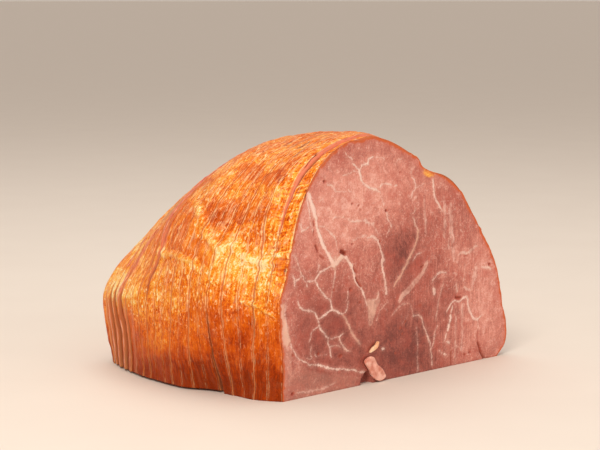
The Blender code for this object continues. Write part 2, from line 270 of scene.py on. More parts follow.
    (1.4, 0.25, 0.1, ((99.6, 26), (100.2, 12), (100, -1))),
    # Painted highlights: the wet streak and its sparkles low on the right, whiter than any fat
    (1.0, 1.3, 0.0, ((128.8, 33.6), (127.6, 30.2))),
    (1.2, 1.3, 0.0, ((127.2, 29), (126, 25.2))),
    (1.4, 1.3, 0.0, ((125.6, 24.2), (124.4, 20.4))),
    (1.0, 1.3, 0.0, ((123.6, 18.8), (122.2, 15.2))),
    (0.9, 1.3, 0.0, ((123.4, 14.6), (126, 13.2))),
    (0.8, 1.3, 0.0, ((118, 10.4), (120.4, 8.2))),
    (0.9, 1.3, 0.0, ((121.2, 7.8), (124, 6.4))),
    # A painted highlight: the wet glint along the pale arc low on the left
    (1.1, 1.5, 0.0, ((23, 15.4), (27, 14.4), (32, 13), (37, 11.6), (43, 10.3))),
    (3.4, 0.30, 0.1, ((126, 92), (126.4, 80), (128.4, 66), (129, 60))),
    (2.4, 0.26, 0.1, ((120.6, 96), (121.4, 84), (121, 74))),
    (2.6, 0.26, 0.1, ((144, 40), (146.4, 50), (150.4, 58))),
    (2.2, 0.26, 0.1, ((136.4, 34), (136.8, 22), (136.4, 8))),
    (2.0, 0.24, 0.1, ((104.6, 96), (105.4, 86), (106.4, 76))),
    (0.6, 0.7, 0.0, ((36.4, 66.6), (37.2, 69.6), (36.4, 72.8), (34.8, 75.4))),
    (0.6, 0.6, 0.0, ((24, 64.6), (25.4, 67.4), (25, 70))),
    (0.6, 0.6, 0.0, ((11, 66.8), (8.4, 68.8), (6, 68.6))),
    (0.5, 0.6, 0.0, ((44.6, 46), (46.6, 49), (46.2, 52))),
    (0.6, 0.6, 0.0, ((20.6, 26.4), (19.6, 23.4), (20.4, 20.6))),
    (0.5, 0.5, 0.0, ((62, 103.8), (63.4, 108), (66.6, 110.2))),
    (0.5, 0.5, 0.0, ((66.4, 121), (70, 121.4), (73, 119.6))),
)  # fmt: skip
# Splits and holes: width, how deep, and the points they run through
SPLITS = (
    (0.9, 0.5, ((21.3, 91.4), (21.8, 88.8))),
    (0.8, 0.5, ((21.4, 86.6), (21.8, 83.8))),
    (1.2, 0.7, ((22.8, 79.2), (23.8, 76.6), (24.8, 74.8))),
    (0.9, 0.5, ((25.8, 73.4), (27.4, 72.2), (28.8, 71.2))),
    (2.3, 1.6, ((41, 73.6), (42.6, 72.6), (45.2, 71.4))),
    (0.9, 0.8, ((50.4, 64.6), (51.4, 62.8), (53, 61.2))),
    (1.1, 1.0, ((52.4, 58.8), (53.8, 56.4), (55, 54.4), (56.4, 53))),
    (0.5, 0.5, ((57, 52), (58.6, 51.4))),
    (0.6, 0.9, ((127.6, -1), (127.5, 3.4), (127.7, 8.4))),
    (1.2, 1.5, ((149.8, 11), (151.4, 8), (153, 5), (154.4, 2.2), (157, -0.4))),
    (1.7, 0.9, ((131.4, 38.9), (133.4, 38.1), (136.2, 38.4))),
    (0.6, 0.5, ((137.2, 61.2), (140.8, 61.4))),
    (0.4, 0.3, ((150, 18), (149.7, 14), (150, 10.8))),
)  # fmt: skip
# Pores: across, up, radius, depth
PORES = (
    (29, 111, 0.75, 1.0), (49.2, 98, 0.5, 0.6), (55.4, 94.4, 0.5, 0.5), (54, 96.8, 0.4, 0.4),
    (49.4, 76.6, 0.5, 0.6),
    (75, 92.2, 0.75, 0.5), (70.6, 76, 0.5, 0.5), (48.4, 52.4, 0.8, 1.0), (36, 54, 0.55, 0.6),
    (25, 21.4, 0.65, 1.0),
    (41.2, 18.2, 0.9, 1.2), (6.9, 23.4, 0.7, 0.4), (7, 3, 0.9, 0.5), (103.4, 59, 0.9, 0.7),
    (153.4, 74, 0.95, 0.8),
    (159.4, 54.4, 0.9, 0.7), (102.2, 37.6, 0.7, 0.4), (55.4, 44.8, 0.45, 0.5),
    (85, 112, 0.45, 0.3), (90.4, 30.2, 0.5, 0.3),
    (86.4, 27, 0.6, 0.35), (88.2, 23.6, 0.5, 0.3), (82.6, 13.6, 0.4, 0.3), (139, 5, 0.7, 0.2),
    (143, 5.6, 0.7, 0.2),
)  # fmt: skip
# Broad patches of lighter or darker meat: across, up, how wide, how tall, how much
PATCHES = (
    (38, 94, 40, 26, 0.36), (24, 84, 16, 14, 0.06), (76, 108, 30, 20, 0.20),
    (112, 100, 22, 20, 0.14), (162, 30, 22, 34, 0.33),
    (134, 62, 22, 18, 0.20), (140, 20, 14, 22, 0.10), (0, 54, 9, 30, 0.16), (3, 20, 7, 18, 0.12),
    (84, 68, 11, 12, -0.30),
    (97, 79, 12, 12, -0.20), (84, 12, 22, 20, -0.30), (30, 8, 30, 14, -0.08),
    (34, 34, 13, 9, -0.12), (44, 50, 10, 10, -0.07),
    (14, 40, 8, 10, -0.04), (60, 62, 9, 12, 0.10), (60, 40, 7, 12, 0.06), (102, 6, 10, 14, -0.12),
    (74, 30, 12, 10, -0.06),
    (106, 40, 12, 12, 0.02), (120, 82, 14, 12, -0.05), (58, 22, 6, 14, -0.06),
    (34, 34, 34, 24, -0.20), (118, 44, 14, 20, -0.08),
    (100, 20, 14, 14, -0.08), (104, 60, 12, 12, -0.08), (88, 50, 14, 10, -0.06),
    (110, 38, 22, 40, -0.07), (2, 6, 12, 10, -0.09),
)  # fmt: skip
# Redder meat: across, up, how wide, how tall, how much
RED_PATCHES = (
    (102, 50, 7, 12, 0.30), (96, 60, 6, 8, 0.20), (134, 38.6, 4, 2, 0.45), (155, 51, 4, 2.4, 0.35),
    (140, 5, 6, 1.6, 0.40),
    (80, 40, 12, 10, 0.12), (76, 64, 5, 14, 0.18), (146, 58, 7, 4, 0.20), (152, 10, 3, 8, 0.35),
    (46, 62, 10, 14, 0.12),
    (128, 96, 14, 10, 0.14), (30, 40, 22, 20, 0.10), (110, 72, 14, 16, 0.10),
    (124, 30, 8, 18, 0.10), (20, 88, 3, 10, 0.2),
)  # fmt: skip
# Pale patches of fat, as outlines: how pale, then the corners
FAT_PATCHES = (
    (0.95, ((-6, 51), (1.4, 50.4), (2.2, 44), (4.4, 36), (5, 31), (3, 28), (-6, 29))),
    (0.22, ((-6, 30), (4.6, 31), (6.4, 24), (7, 12), (4, 4), (-6, 2))),
    (0.15, ((0, 16), (12, 17), (24, 12), (48, 7), (56, 4), (50, 0), (20, -1), (0, -1))),
    (0.35, ((60.5, 45), (66, 45.4), (69, 49), (71, 44), (67, 38), (64.6, 33.6), (62.8, 36),
         (61.6, 41))),
    (0.45, ((33.6, 67), (36.6, 71.6), (40, 71), (43, 72), (45, 69.6), (39.4, 66.6), (37, 64))),
)  # fmt: skip
# The golden fat at the notch, as an outline, and the hollow in the foot, as two short strands
YELLOW_FAT = ((103.6, 113.6), (108.4, 114), (113.4, 112), (112.6, 108.8), (108.6, 107), (105, 109))
HOLLOW = ((8.4, ((61.2, -3.0), (60.6, 1.2))), (4.4, ((60.4, 1.0), (60.9, 4.6))))
HOLLOW_DEPTH = 4.3
# The usual tone of the meat, and where its fibres stand upright and where they lean
MEAT_TONE = 0.42
UPRIGHT_FIBRES = ((122, 46, 46, 50, 1.0),)
LEANING_FIBRES = ((90, 72, 11, 13, 1.0),)

# ---------------------------------------------------------------- the colours of the skin
# How golden the skin is at each height, then broad patches: depth, height, reaches, how much.
# Toward the floor it darkens, in the heights and in the patches low on the front: partly the
# skin's own brown, partly painted shade.
SKIN_HEIGHTS = (0, 6, 12, 20, 30, 40, 48, 56, 66, 78, 90, 102, 114, 124, 133)
SKIN_WARMTH = (0.08, 0.14, 0.22, 0.34, 0.42, 0.50, 0.58, 0.61, 0.61, 0.60, 0.58, 0.60, 0.58, 0.54,
        0.49)
SKIN_PATCHES = (
    (30, 70, 13, 9, 0.22), (12, 62, 9, 11, 0.22), (24, 78, 11, 6, 0.10), (62, 108, 20, 9, 0.05),
    (112, 45, 16, 9, 0.20), (135, 46, 12, 10, 0.18), (78, 50, 20, 6, 0.08), (66, 24, 14, 9, 0.10),
    (100, 68, 12, 12, 0.12),
    (28, 56, 8, 4, -0.14), (40, 60, 6, 4, -0.08), (114, 28, 10, 9, -0.08), (128, 66, 18, 14, 0.16),
    (88, 40, 16, 8, 0.10),
    (60, 34, 20, 9, 0.06), (90, 14, 16, 9, 0.08), (120, 12, 14, 8, 0.10), (20, 42, 30, 12, -0.13),
    (22, 24, 38, 12, -0.13),
    (22, 8, 44, 9, -0.14), (27, 45, 10, 9, -0.06), (117, 47, 11, 9, 0.30), (0, 92, 6, 9, 0.10),
    (0, 112, 8, 9, 0.07),
)  # fmt: skip
# Deep orange patches where the gold has rubbed away, as outlines over depth and height
DEEP_PATCHES = (
    ((66, 99), (54, 98), (49, 100.5), (42, 99.5), (36, 104), (24, 102), (15, 101.5), (7, 99),
         (6.4, 92), (13, 92.4), (18, 90),
     (24, 91.4), (29, 88), (37, 90.4), (42, 88), (48, 89), (51, 91.4), (58, 95)),
    ((85, 94), (71, 97), (64, 92.4), (57, 87.6), (50, 81.6), (40, 79.4), (34.6, 76), (35.6, 70),
         (43, 66.4), (49, 71),
     (57, 70.4), (66, 73), (75, 70.6), (79, 74), (82, 84)),
    ((10.4, 71.6), (7, 73.6), (1, 74), (0, 63.4), (3.4, 63.6), (7, 67.4)),
    ((100, 88), (92, 95), (84, 96), (86, 84), (91, 72), (97, 60), (103, 64), (104, 76)),
    ((150, 62), (136, 66), (124, 60), (112, 64), (114, 56), (130, 54), (146, 55)),
    ((56, 116), (40, 119), (30, 114), (16, 120), (12, 112), (22, 108), (34, 110), (50, 110)),
    ((100, 106), (84, 112), (72, 108), (80, 102), (94, 100)),
)  # fmt: skip
# Where a slice's skin has come off and pink meat shows through
BARE_PATCHES = (
    ((80.6, 74), (84.4, 73), (87, 79), (88.6, 90), (89.4, 104), (88.6, 120), (83.6, 120),
         (82.8, 104), (82, 88)),
    ((102.6, 79), (106.4, 78), (110.6, 70), (114.4, 58), (114.6, 44), (113, 39), (110.6, 40),
         (110.2, 52), (108, 64)),
    ((118, 58), (121, 58), (128, 72), (127, 84), (123, 76)),
)  # fmt: skip
# Slices whose skin bulges out: how far, and between which heights
BULGES = {13: (1.0, 70, 116), 12: (0.4, 74, 112), 17: (0.6, 44, 64), 18: (0.9, 44, 66), 19: (0.8,
        42, 66)}
# Where the left side is dented: depth, height, reaches, how deep
DENTS = ((110, 88, 11, 6.5, 1.9), (74, 103, 10, 4, 0.7), (124, 62, 7, 6, 0.6))
# Raised wrinkles of golden skin: width, height, and the points they run through
WRINKLES = (
    (3.2, 0.9, ((68, 97.4), (59, 93), (51, 87.6), (44, 82), (34.4, 77), (28, 78.6), (21, 73.6),
         (13, 70.6), (6, 71.4))),
    (2.2, 0.6, ((34, 78), (33, 71), (35.6, 66), (33.4, 60))),
    (1.8, 0.7, ((20, 52), (13, 49.6), (8.6, 47), (3, 44.6))),
    (2.4, 0.6, ((88, 70), (76, 69), (66, 71.4), (57, 68.6), (50, 69.6), (43, 64.6))),
    (2.0, 0.5, ((9, 76), (4.6, 75), (-2, 76))),
)  # fmt: skip
# Seams that stand open: from and to which height, and how far. The others lie close
OPEN_SEAMS = {1: (88, 140, 1.0), 2: (34, 90, 0.25), 5: (0, 44, 0.8), 12: (50, 82, 0.7), 15: (0, 30,
        0.2), 16: (0, 46, 0.3), 17: (0, 48, 0.3), 18: (0, 50, 0.3)}
SEAM_GAP = 0.11
OPEN_GAP = 0.3
SEAM_WAVE = 0.45

# Points along the rim's depth, in millimetres from the nearest cut, and the cut edge's rounding
EDGE_STEPS = (0.0, 0.07, 0.22, 0.45, 0.85, 1.5, 2.3)
EDGE_ROUND = 0.23
OPEN_ROUND = 0.5


# ================================================================ numbers and noise
def lattice(ix, iy, iz, seed):
    """A fixed random number from -1 to 1 for every whole-numbered place."""
    n = (ix * 73856093) ^ (iy * 19349663) ^ (iz * 83492791) ^ (seed * 40503 + 977)
    n = (n ^ (n >> 13)) & 0x7FFFFFFF
    n = (n * 1274126177) & 0x7FFFFFFF
    n = ((n ^ (n >> 15)) * 2246822519) & 0x7FFFFFFF
    return ((n ^ (n >> 14)) & 0xFFFF) / 32767.5 - 1.0


def noise(points, size, seed=0):
    """Smooth lumps about size across, from -1 to 1. Size may differ along each axis."""
    p = points / np.asarray(size, float)
    base = np.floor(p).astype(np.int64)
    f = p - base
    f = f * f * f * (f * (f * 6 - 15) + 10)
    total = np.zeros(len(p))
    for corner in range(8):
        dx, dy, dz = corner & 1, corner >> 1 & 1, corner >> 2
        weight = (f[:, 0] if dx else 1 - f[:, 0]) * (f[:, 1] if dy else 1 - f[:, 1])
        weight = weight * (f[:, 2] if dz else 1 - f[:, 2])
        total += weight * lattice(base[:, 0] + dx, base[:, 1] + dy, base[:, 2] + dz, seed)
    return total


def step_up(x, start, end):
    """A soft step from 0 at the start to 1 at the end, which may lie below the start."""
    t = np.clip((x - start) / (end - start), 0, 1)
    return t * t * (3 - 2 * t)


def soft_patches(x, y, patches):
    """Soft-edged patches added up: each has its place, its two reaches and how much it adds."""
    total = np.zeros(len(x))
    for at_x, at_y, wide, tall, much in patches:
        total += much * np.exp(-(((x - at_x) / wide) ** 2) - ((y - at_y) / tall) ** 2)
    return total


def smooth_through(xs, ys, x):
    """A smooth curve through (xs, ys) at x. Each y may be a number, or an array like x."""
    xs, ys = np.asarray(xs, float), np.asarray(ys, float)
    spread = xs.reshape((-1,) + (1,) * (ys.ndim - 1))
    slopes = np.diff(ys, axis=0) / np.diff(spread, axis=0)
    before, after = slopes[:-1], slopes[1:]
    both = before * after > 0
    inner = np.where(both, 2 * before * after / np.where(both, before + after, 1), 0.0)
    tangents = np.concatenate([slopes[:1], inner, slopes[-1:]])
    x = np.clip(x, xs[0], xs[-1])
    at = np.clip(np.searchsorted(xs, x, "right") - 1, 0, len(xs) - 2)

    def pick(table, index):
        return table[index] if table.ndim == 1 else table[index, np.arange(len(index))]

    width = xs[at + 1] - xs[at]
    t = (x - xs[at]) / width
    y = (1 + 2 * t) * (1 - t) ** 2 * pick(ys, at) + t * t * (3 - 2 * t) * pick(ys, at + 1)
    bend = t * (1 - t) ** 2 * pick(tangents, at) - t * t * (1 - t) * pick(tangents, at + 1)
    return y + width * bend


# ================================================================ the ham's outline
def left_side(stations, depth, level):
    """How far across the left side lies."""
    rows = [smooth_through(LEVELS, across, level) for _, _, across in stations]
    return smooth_through([s[0] for s in stations], rows, depth)


def crown_height(stations, depth):
    """How high the crown is."""
    return smooth_through([s[0] for s in stations], [s[1] for s in stations], depth)


def right_side(stations, depth, level):
    """How far across the right side lies."""
    crown = left_side(stations, depth, np.ones_like(level))
    reach = smooth_through([r[0] for r in RIGHT_REACH], [r[1] for r in RIGHT_REACH], depth)
    heights, across = zip(*RIGHT_OUTLINE)
    share = (smooth_through(heights, across, level) - across[-1]) / (RIGHT_REACH[0][1] - across[-1])
    return crown + share * (reach - crown)


def both_sides(stations, depth, level):
    """Left and right, spread a little just under the crown."""
    spread = CROWN_SPREAD * step_up(level, CROWN_START, 1.0)
    return left_side(stations, depth, level) - spread, right_side(stations, depth, level) + spread


def outward(across, height, middle_across, middle_height):
    """Which way is away from a middle at each point, as across and up."""
    away = np.stack([across - middle_across, height - middle_height], 1)
    return away / np.maximum(np.linalg.norm(away, axis=1), 1e-6)[:, None]


def curled(depth, height):
    """The depth after the foot of the back group has curled away from the front group."""
    behind = depth - FRONT_GROUP * STEP
    fade = np.clip(1 - behind / CURL_DEPTH, 0, 1)
    lift = np.clip(1 - height / CURL_HEIGHT, 0, 1) ** 2
    return depth + np.where(behind >= -0.001, CURL * fade * lift, 0.0)


# ================================================================ the slices' meshes
def block(columns, rows, layers, closed_back):
    """A closed block whose points hold their own column, row and layer as their place."""
    bm = bmesh.new()
    bmesh.ops.create_grid(bm, x_segments=columns, y_segments=rows, size=0.5)
    bmesh.ops.translate(bm, vec=(0.5, 0.5, 0), verts=bm.verts)
    bmesh.ops.scale(bm, vec=(columns, rows, 1), verts=bm.verts)
    if closed_back:
        grown = bmesh.ops.extrude_face_region(bm, geom=bm.faces[:], use_keep_orig=True)["geom"]
    else:
        rim = [e for e in bm.edges if e.is_boundary]
        grown = bmesh.ops.extrude_edge_only(bm, edges=rim)["geom"]
    moved = [v for v in grown if isinstance(v, bmesh.types.BMVert)]
    bmesh.ops.translate(bm, vec=(0, 0, layers), verts=moved)
    sides = [e for e in bm.edges if abs(e.verts[0].co.z - e.verts[1].co.z) > 0.5]
    bmesh.ops.subdivide_edges(bm, edges=sides, cuts=layers - 1, use_grid_fill=True)
    if not closed_back:
        rim = [e for e in bm.edges if e.is_boundary]
        bmesh.ops.contextual_create(bm, geom=rim)
    bmesh.ops.recalc_face_normals(bm, faces=bm.faces)
    return bm


def written(bm, name, materials):
    """An object of the block, with its points' column, row and layer."""
    mesh = bpy.data.meshes.new(name)
    bm.to_mesh(mesh)
    bm.free()
    piece = bpy.data.objects.new(name, mesh)
    bpy.context.scene.collection.objects.link(piece)
    for material in materials:
        mesh.materials.append(material)
    place = np.empty(len(mesh.vertices) * 3, np.float32)
    mesh.vertices.foreach_get("co", place)
    return piece, np.round(place.reshape(-1, 3)).astype(int)


def put_points(mesh, across, depth, height):
    """Writes the points, given in the ham's own millimetres, in metres in the row's frame."""
    place = np.stack([across + CORNER_X, depth + CORNER_Y, height], 1) * MM
    place = np.clip(place, *cad_box)
    mesh.vertices.foreach_set("co", place.astype(np.float32).ravel())
    mesh.update()
    bm = bmesh.new()
    bm.from_mesh(mesh)
    bmesh.ops.recalc_face_normals(bm, faces=bm.faces)
    bm.to_mesh(mesh)
    bm.free()
    mesh.shade_smooth()


def put_attributes(mesh, **fields):
    """Gives every point of a mesh its numbers, for the materials to read by the fields' names."""
    for name, values in fields.items():
        layer = mesh.attributes.new(name, "FLOAT", "POINT")
        layer.data.foreach_set("value", np.asarray(values, np.float32))


def level_of(share):
    """Rows are evenly spaced up the ham and crowd together at the crown."""
    return 1.19 * share - 0.19 * share**6


def outline_field(x, y, corners):
    """How far each place lies inside an outline, in its own units; less than nothing outside."""
    corners = np.array(corners, float)
    gap = np.full(len(x), 99.0)
    inside = np.zeros(len(x), bool)
    for a, b in zip(corners, np.roll(corners, -1, axis=0)):
        line = b - a
        t = np.clip(((x - a[0]) * line[0] + (y - a[1]) * line[1]) / (line @ line), 0, 1)
        gap = np.minimum(gap, np.hypot(x - a[0] - t * line[0], y - a[1] - t * line[1]))
        if a[1] != b[1]:
            crosses = (a[1] > y) != (b[1] > y)
            inside ^= crosses & (x < a[0] + line[0] * (y - a[1]) / line[1])
    return np.where(inside, gap, -gap)


def skin_warmth(depth, height, places):
    """How golden the skin is, from 0, dark brown, to 1, pale gold."""
    depth, height = depth * DRAWN, height * DRAWN
    warmth = np.interp(height + 3.0 * noise(places, 16, 30), SKIN_HEIGHTS, SKIN_WARMTH)
    swirl = 4.0 * noise(places, 14, 31)
    warmth = warmth + soft_patches(depth + swirl, height + swirl, SKIN_PATCHES)
    return warmth + 0.07 * noise(places, 11, 32)


def deep_patches(depth, height, places):
    """How far inside a deep orange patch the skin lies, in millimetres, with wavering borders."""
    depth = depth * DRAWN + 1.6 * noise(places, 6, 33) + 1.2 * noise(places, 2.8, 34)
    height = height * DRAWN + 1.6 * noise(places, 6, 35) + 1.2 * noise(places, 2.8, 36)
    return np.maximum.reduce([outline_field(depth, height, corners) for corners in DEEP_PATCHES])


def bare_patches(depth, height, places):
    """How bare of skin a place is, from 0 to 1. The far side has kept its skin."""
    near_side = step_up(places[:, 0], *NEAR_SIDE)
    depth = depth * DRAWN + 0.8 * noise(places, 4, 43)
    height = height * DRAWN + 1.5 * noise(places, 6, 44)
    field = np.maximum.reduce([outline_field(depth, height, corners) for corners in BARE_PATCHES])
    return near_side * step_up(field, -0.9, 0.6)


def wrinkle_height(depth, height, places):
    """How far the wrinkles raise the skin, and how far inside one a place lies."""
    depth = depth * DRAWN + 0.9 * noise(places, 5, 37)
    height = height * DRAWN + 0.9 * noise(places, 5, 38)
    inside, which = strand_field(depth, height, WRINKLES)
    tall = np.array([w[1] for w in WRINKLES])[which]
    return tall * step_up(inside, -0.9, 0.8) - 0.35 * np.exp(-(((inside + 1.7) / 0.8) ** 2)), inside


def skin_relief(places):
    """How far the skin stands out, in millimetres: broad lumps, then creases and pimples."""
    broad = 0.35 * noise(places, 17, 3)
    creases = 0.42 * noise(places, (6.5, 7.0, 6.5), 5)
    ridges = 0.20 * noise(places, (5.0, 1.9, 5.0), 9)
    return broad + creases + ridges + 0.13 * noise(places, (2.4, 1.3, 2.4), 10) - 0.55


def seam_wave(seam, across, height):
    """A cut isn't quite flat: how far the cut behind a slice strays along the depth."""
    places = np.stack([across, np.full_like(across, 37.0 * seam), height], 1)
    return SEAM_WAVE * noise(places, (38, 5, 30), 40) + 0.12 * SEAM_WAVE * noise(places, (9, 5, 9),
            41)


def seam_open(seam, height):
    """How open a seam stands at a height, from 0 to 1."""
    if seam not in OPEN_SEAMS:
        return np.zeros_like(height)
    low_end, high_end, most = OPEN_SEAMS[seam]
    height = height * DRAWN
    return most * step_up(height, low_end - 5, low_end + 3) * step_up(height, high_end + 4,
            high_end - 5)


def arc_lengths(grid, across, height):
    """Millimetres along the outline from its foot on the left, for each point of the rim."""
    column, row, layer = grid.T
    arc = np.zeros(len(grid))
    columns, rows = column.max(), row.max()
    for k in range(layer.max() + 1):
        here = np.flatnonzero(layer == k)
        left = here[column[here] == 0]
        left = left[np.argsort(row[left])]
        right = here[column[here] == columns]
        right = right[np.argsort(-row[right])]
        loop = np.concatenate([left, right])
        steps = np.hypot(np.diff(across[loop]), np.diff(height[loop]))
        arc[loop] = np.concatenate([[0], np.cumsum(steps)])
        top = here[(row[here] == rows) & (column[here] > 0) & (column[here] < columns)]
        arc[top] = arc[left[-1]] + across[top] - across[left[-1]]
        foot = here[(row[here] == 0) & (column[here] > 0)]
        arc[foot] = across[left[0]] - across[foot]
    return arc


def layer_depths(thickness):
    """The depth of each layer of points through a slice, closer together at its cut edges."""
    near = [d for d in EDGE_STEPS if d < thickness / 2 - 0.3]
    return np.array(near + [thickness / 2] + [thickness - d for d in reversed(near)])


def cut_depths(number, share, across, height):
    """Each point's depth between a slice's two cuts, and how open the seam nearest to it is."""
    front = (number - 1) * STEP + seam_wave(number - 1, across, height)
    back = number * STEP + seam_wave(number, across, height)
    open_front, open_back = seam_open(number - 1, height), seam_open(number, height)
    front = front + 0.5 * (SEAM_GAP + (OPEN_GAP - SEAM_GAP) * open_front)
    back = back - 0.5 * (SEAM_GAP + (OPEN_GAP - SEAM_GAP) * open_back)
    if number == 1:
        front, open_front = np.zeros_like(across), np.zeros_like(across)
    return front + share * (back - front), np.where(share < 0.5, open_front, open_back)


def swelling(number, through, height):
    """How far the skin swells between a slice's cuts, and on some slices over a stretch."""
    bulge = 0.12 * np.sin(np.pi * through)
    if number in BULGES:
        far, low_end, high_end = BULGES[number]
        height = height * DRAWN
        swell = step_up(height, low_end, low_end + 14) * step_up(height, high_end, high_end - 14)
        bulge = bulge + far * swell
    return bulge


def edge_inset(number, from_cut, opened, places):
    """How far the rounded edge of a cut falls back from the skin."""
    rounding = EDGE_ROUND + (OPEN_ROUND - EDGE_ROUND) * opened
    rounding = rounding * (1 + 0.4 * noise(places + 40 * number, 6, 21))
    reach = np.clip(1 - from_cut / rounding, 0, 1)
    return rounding * (1 - np.sqrt(np.maximum(0, 1 - reach**2)))


def shape_slice(number, grid, spread):
    """Gives a slice its outline, its rounded and ragged cut edges and its lumpy skin."""
    column, row, layer = grid.T
    columns, rows = column.max(), row.max()
    stations = FACE_STATIONS if number == 1 else STATIONS
    steps = layer_depths(STEP)
    through = steps[layer] / STEP
    from_cut = np.minimum(steps[layer], STEP - steps[layer])
    nominal = (number - 1 + through) * STEP
    level = level_of(row / rows)
    left, right = both_sides(stations, nominal, level)
    height = crown_height(stations, nominal) * level
    if number > 1:
        stepped = PROUD.get(number, 0.0) * np.sin(np.pi * np.minimum(1.0, 0.15 + level))
        proud = SLIP + stepped * (step_up(height, 42, 60) if number < 15 else step_up(height, 50,
                30))
        left = left - (0.6 * sideways[number] + proud * (1 - 2 * through)) * (1 - level**4)
    if number > FRONT_GROUP:
        lift = np.clip(1 - column / columns * 3, 0, 1)
        height = np.maximum(height, UNDERCUT * lift * np.clip(1 - height / 6, 0, 1))
    share = column / columns
    share = (1 - spread) * share + spread * share * share * (3 - 2 * share)
    across = left + (right - left) * share
    depth, opened = cut_depths(number, through, across, height)
    places = np.stack([across, nominal, height], 1)
    wrinkle, in_wrinkle = wrinkle_height(depth, height, places)
    ragged = 0.12 * noise(places + 70 * number, (2.6, 9, 2.6), 22) * np.clip(1 - from_cut / 1.2, 0,
            1)
    own = 0.22 * noise(np.stack([across, np.full_like(across, 50.0 * number), height], 1), (30, 5,
            26), 23)
    rim = (column == 0) | (column == columns) | (row == 0) | (row == rows)
    dent = np.where(column == 0, soft_patches(nominal * DRAWN, height * DRAWN, DENTS), 0.0)
    lumps = skin_relief(places) + wrinkle + ragged + own + swelling(number, through, height) - dent
    out = np.where(rim, lumps, 0.0) - edge_inset(number, from_cut, opened, places)
    if number == 1:
        border = np.minimum(across - left, right - across)
        out = np.where(rim, out, -0.45 * np.exp(-np.maximum(border, 0) / 1.5))
    else:
        out = np.where(rim, out, -0.5)
    away = outward(across, height, HEART_ACROSS, HEART_HEIGHT)
    low_down = np.clip(height / 5, 0, 1)
    across = across + out * away[:, 0] * (0.25 + 0.75 * low_down)
    height = np.maximum(height + out * away[:, 1] * low_down, 0.0)
    if number > FRONT_GROUP:
        depth = curled(depth, height)
    return dict(across=across, depth=depth, height=height, from_cut=from_cut, opened=opened,
            rim=rim,
                layer=layer, in_wrinkle=in_wrinkle, from_front=steps[layer])  # fmt: skip


def under_the_skin(shape):
    """How far each point lies inside the rim of its own slice, in millimetres."""
    gap = np.zeros(len(shape["rim"]))
    front_rim = np.flatnonzero(shape["rim"] & (shape["layer"] == 0) & (shape["height"] > 0.05))
    tree = KDTree(len(front_rim))
    for k, i in enumerate(front_rim):
        tree.insert((shape["across"][i], shape["height"][i], 0.0), k)
    tree.balance()
    for i in np.flatnonzero(~shape["rim"]):
        gap[i] = tree.find((shape["across"][i], shape["height"][i], 0.0))[2]
    return gap


# ================================================================ the cut face
def strand_field(u, z, strands, thin_ends=True):
    """For each place, how far inside the nearest strand it lies, and which strand that is."""
    best = np.full(len(u), -9.0)
    which = np.zeros(len(u), int)
    for number, strand in enumerate(strands):
        width, points = strand[0], np.array(strand[-1], float)
        if len(points) > 2:
            t = np.arange(len(points))
            fine = np.linspace(0, len(points) - 1, 4 * (len(points) - 1) + 1)
            points = np.stack([smooth_through(t, points[:, k], fine) for k in (0, 1)], 1)
        low_corner, high_corner = points.min(0) - 6, points.max(0) + 6
        near = np.flatnonzero((u > low_corner[0]) & (u < high_corner[0]) & (z > low_corner[1]) & (z < high_corner[1]))
        if not len(near):
            continue
        p = np.stack([u[near], z[near]], 1)
        inside = np.full(len(near), -9.0)
        count = len(points) - 1
        for k in range(count):
            a, b = points[k], points[k + 1]
            line = b - a
            t = np.clip(((p - a) @ line) / max(line @ line, 1e-9), 0, 1)
            gap = np.linalg.norm(p - a - t[:, None] * line, axis=1)
            along = (k + t) / count
            taper = 0.5 + 0.5 * np.sqrt(np.clip(1 - (2 * along - 1) ** 4, 0,
                    1)) if thin_ends else 1.0
            inside = np.maximum(inside, 0.5 * width * taper - gap)
        better = inside > best[near]
        best[near[better]] = inside[better]
        which[near[better]] = number
    return best, which


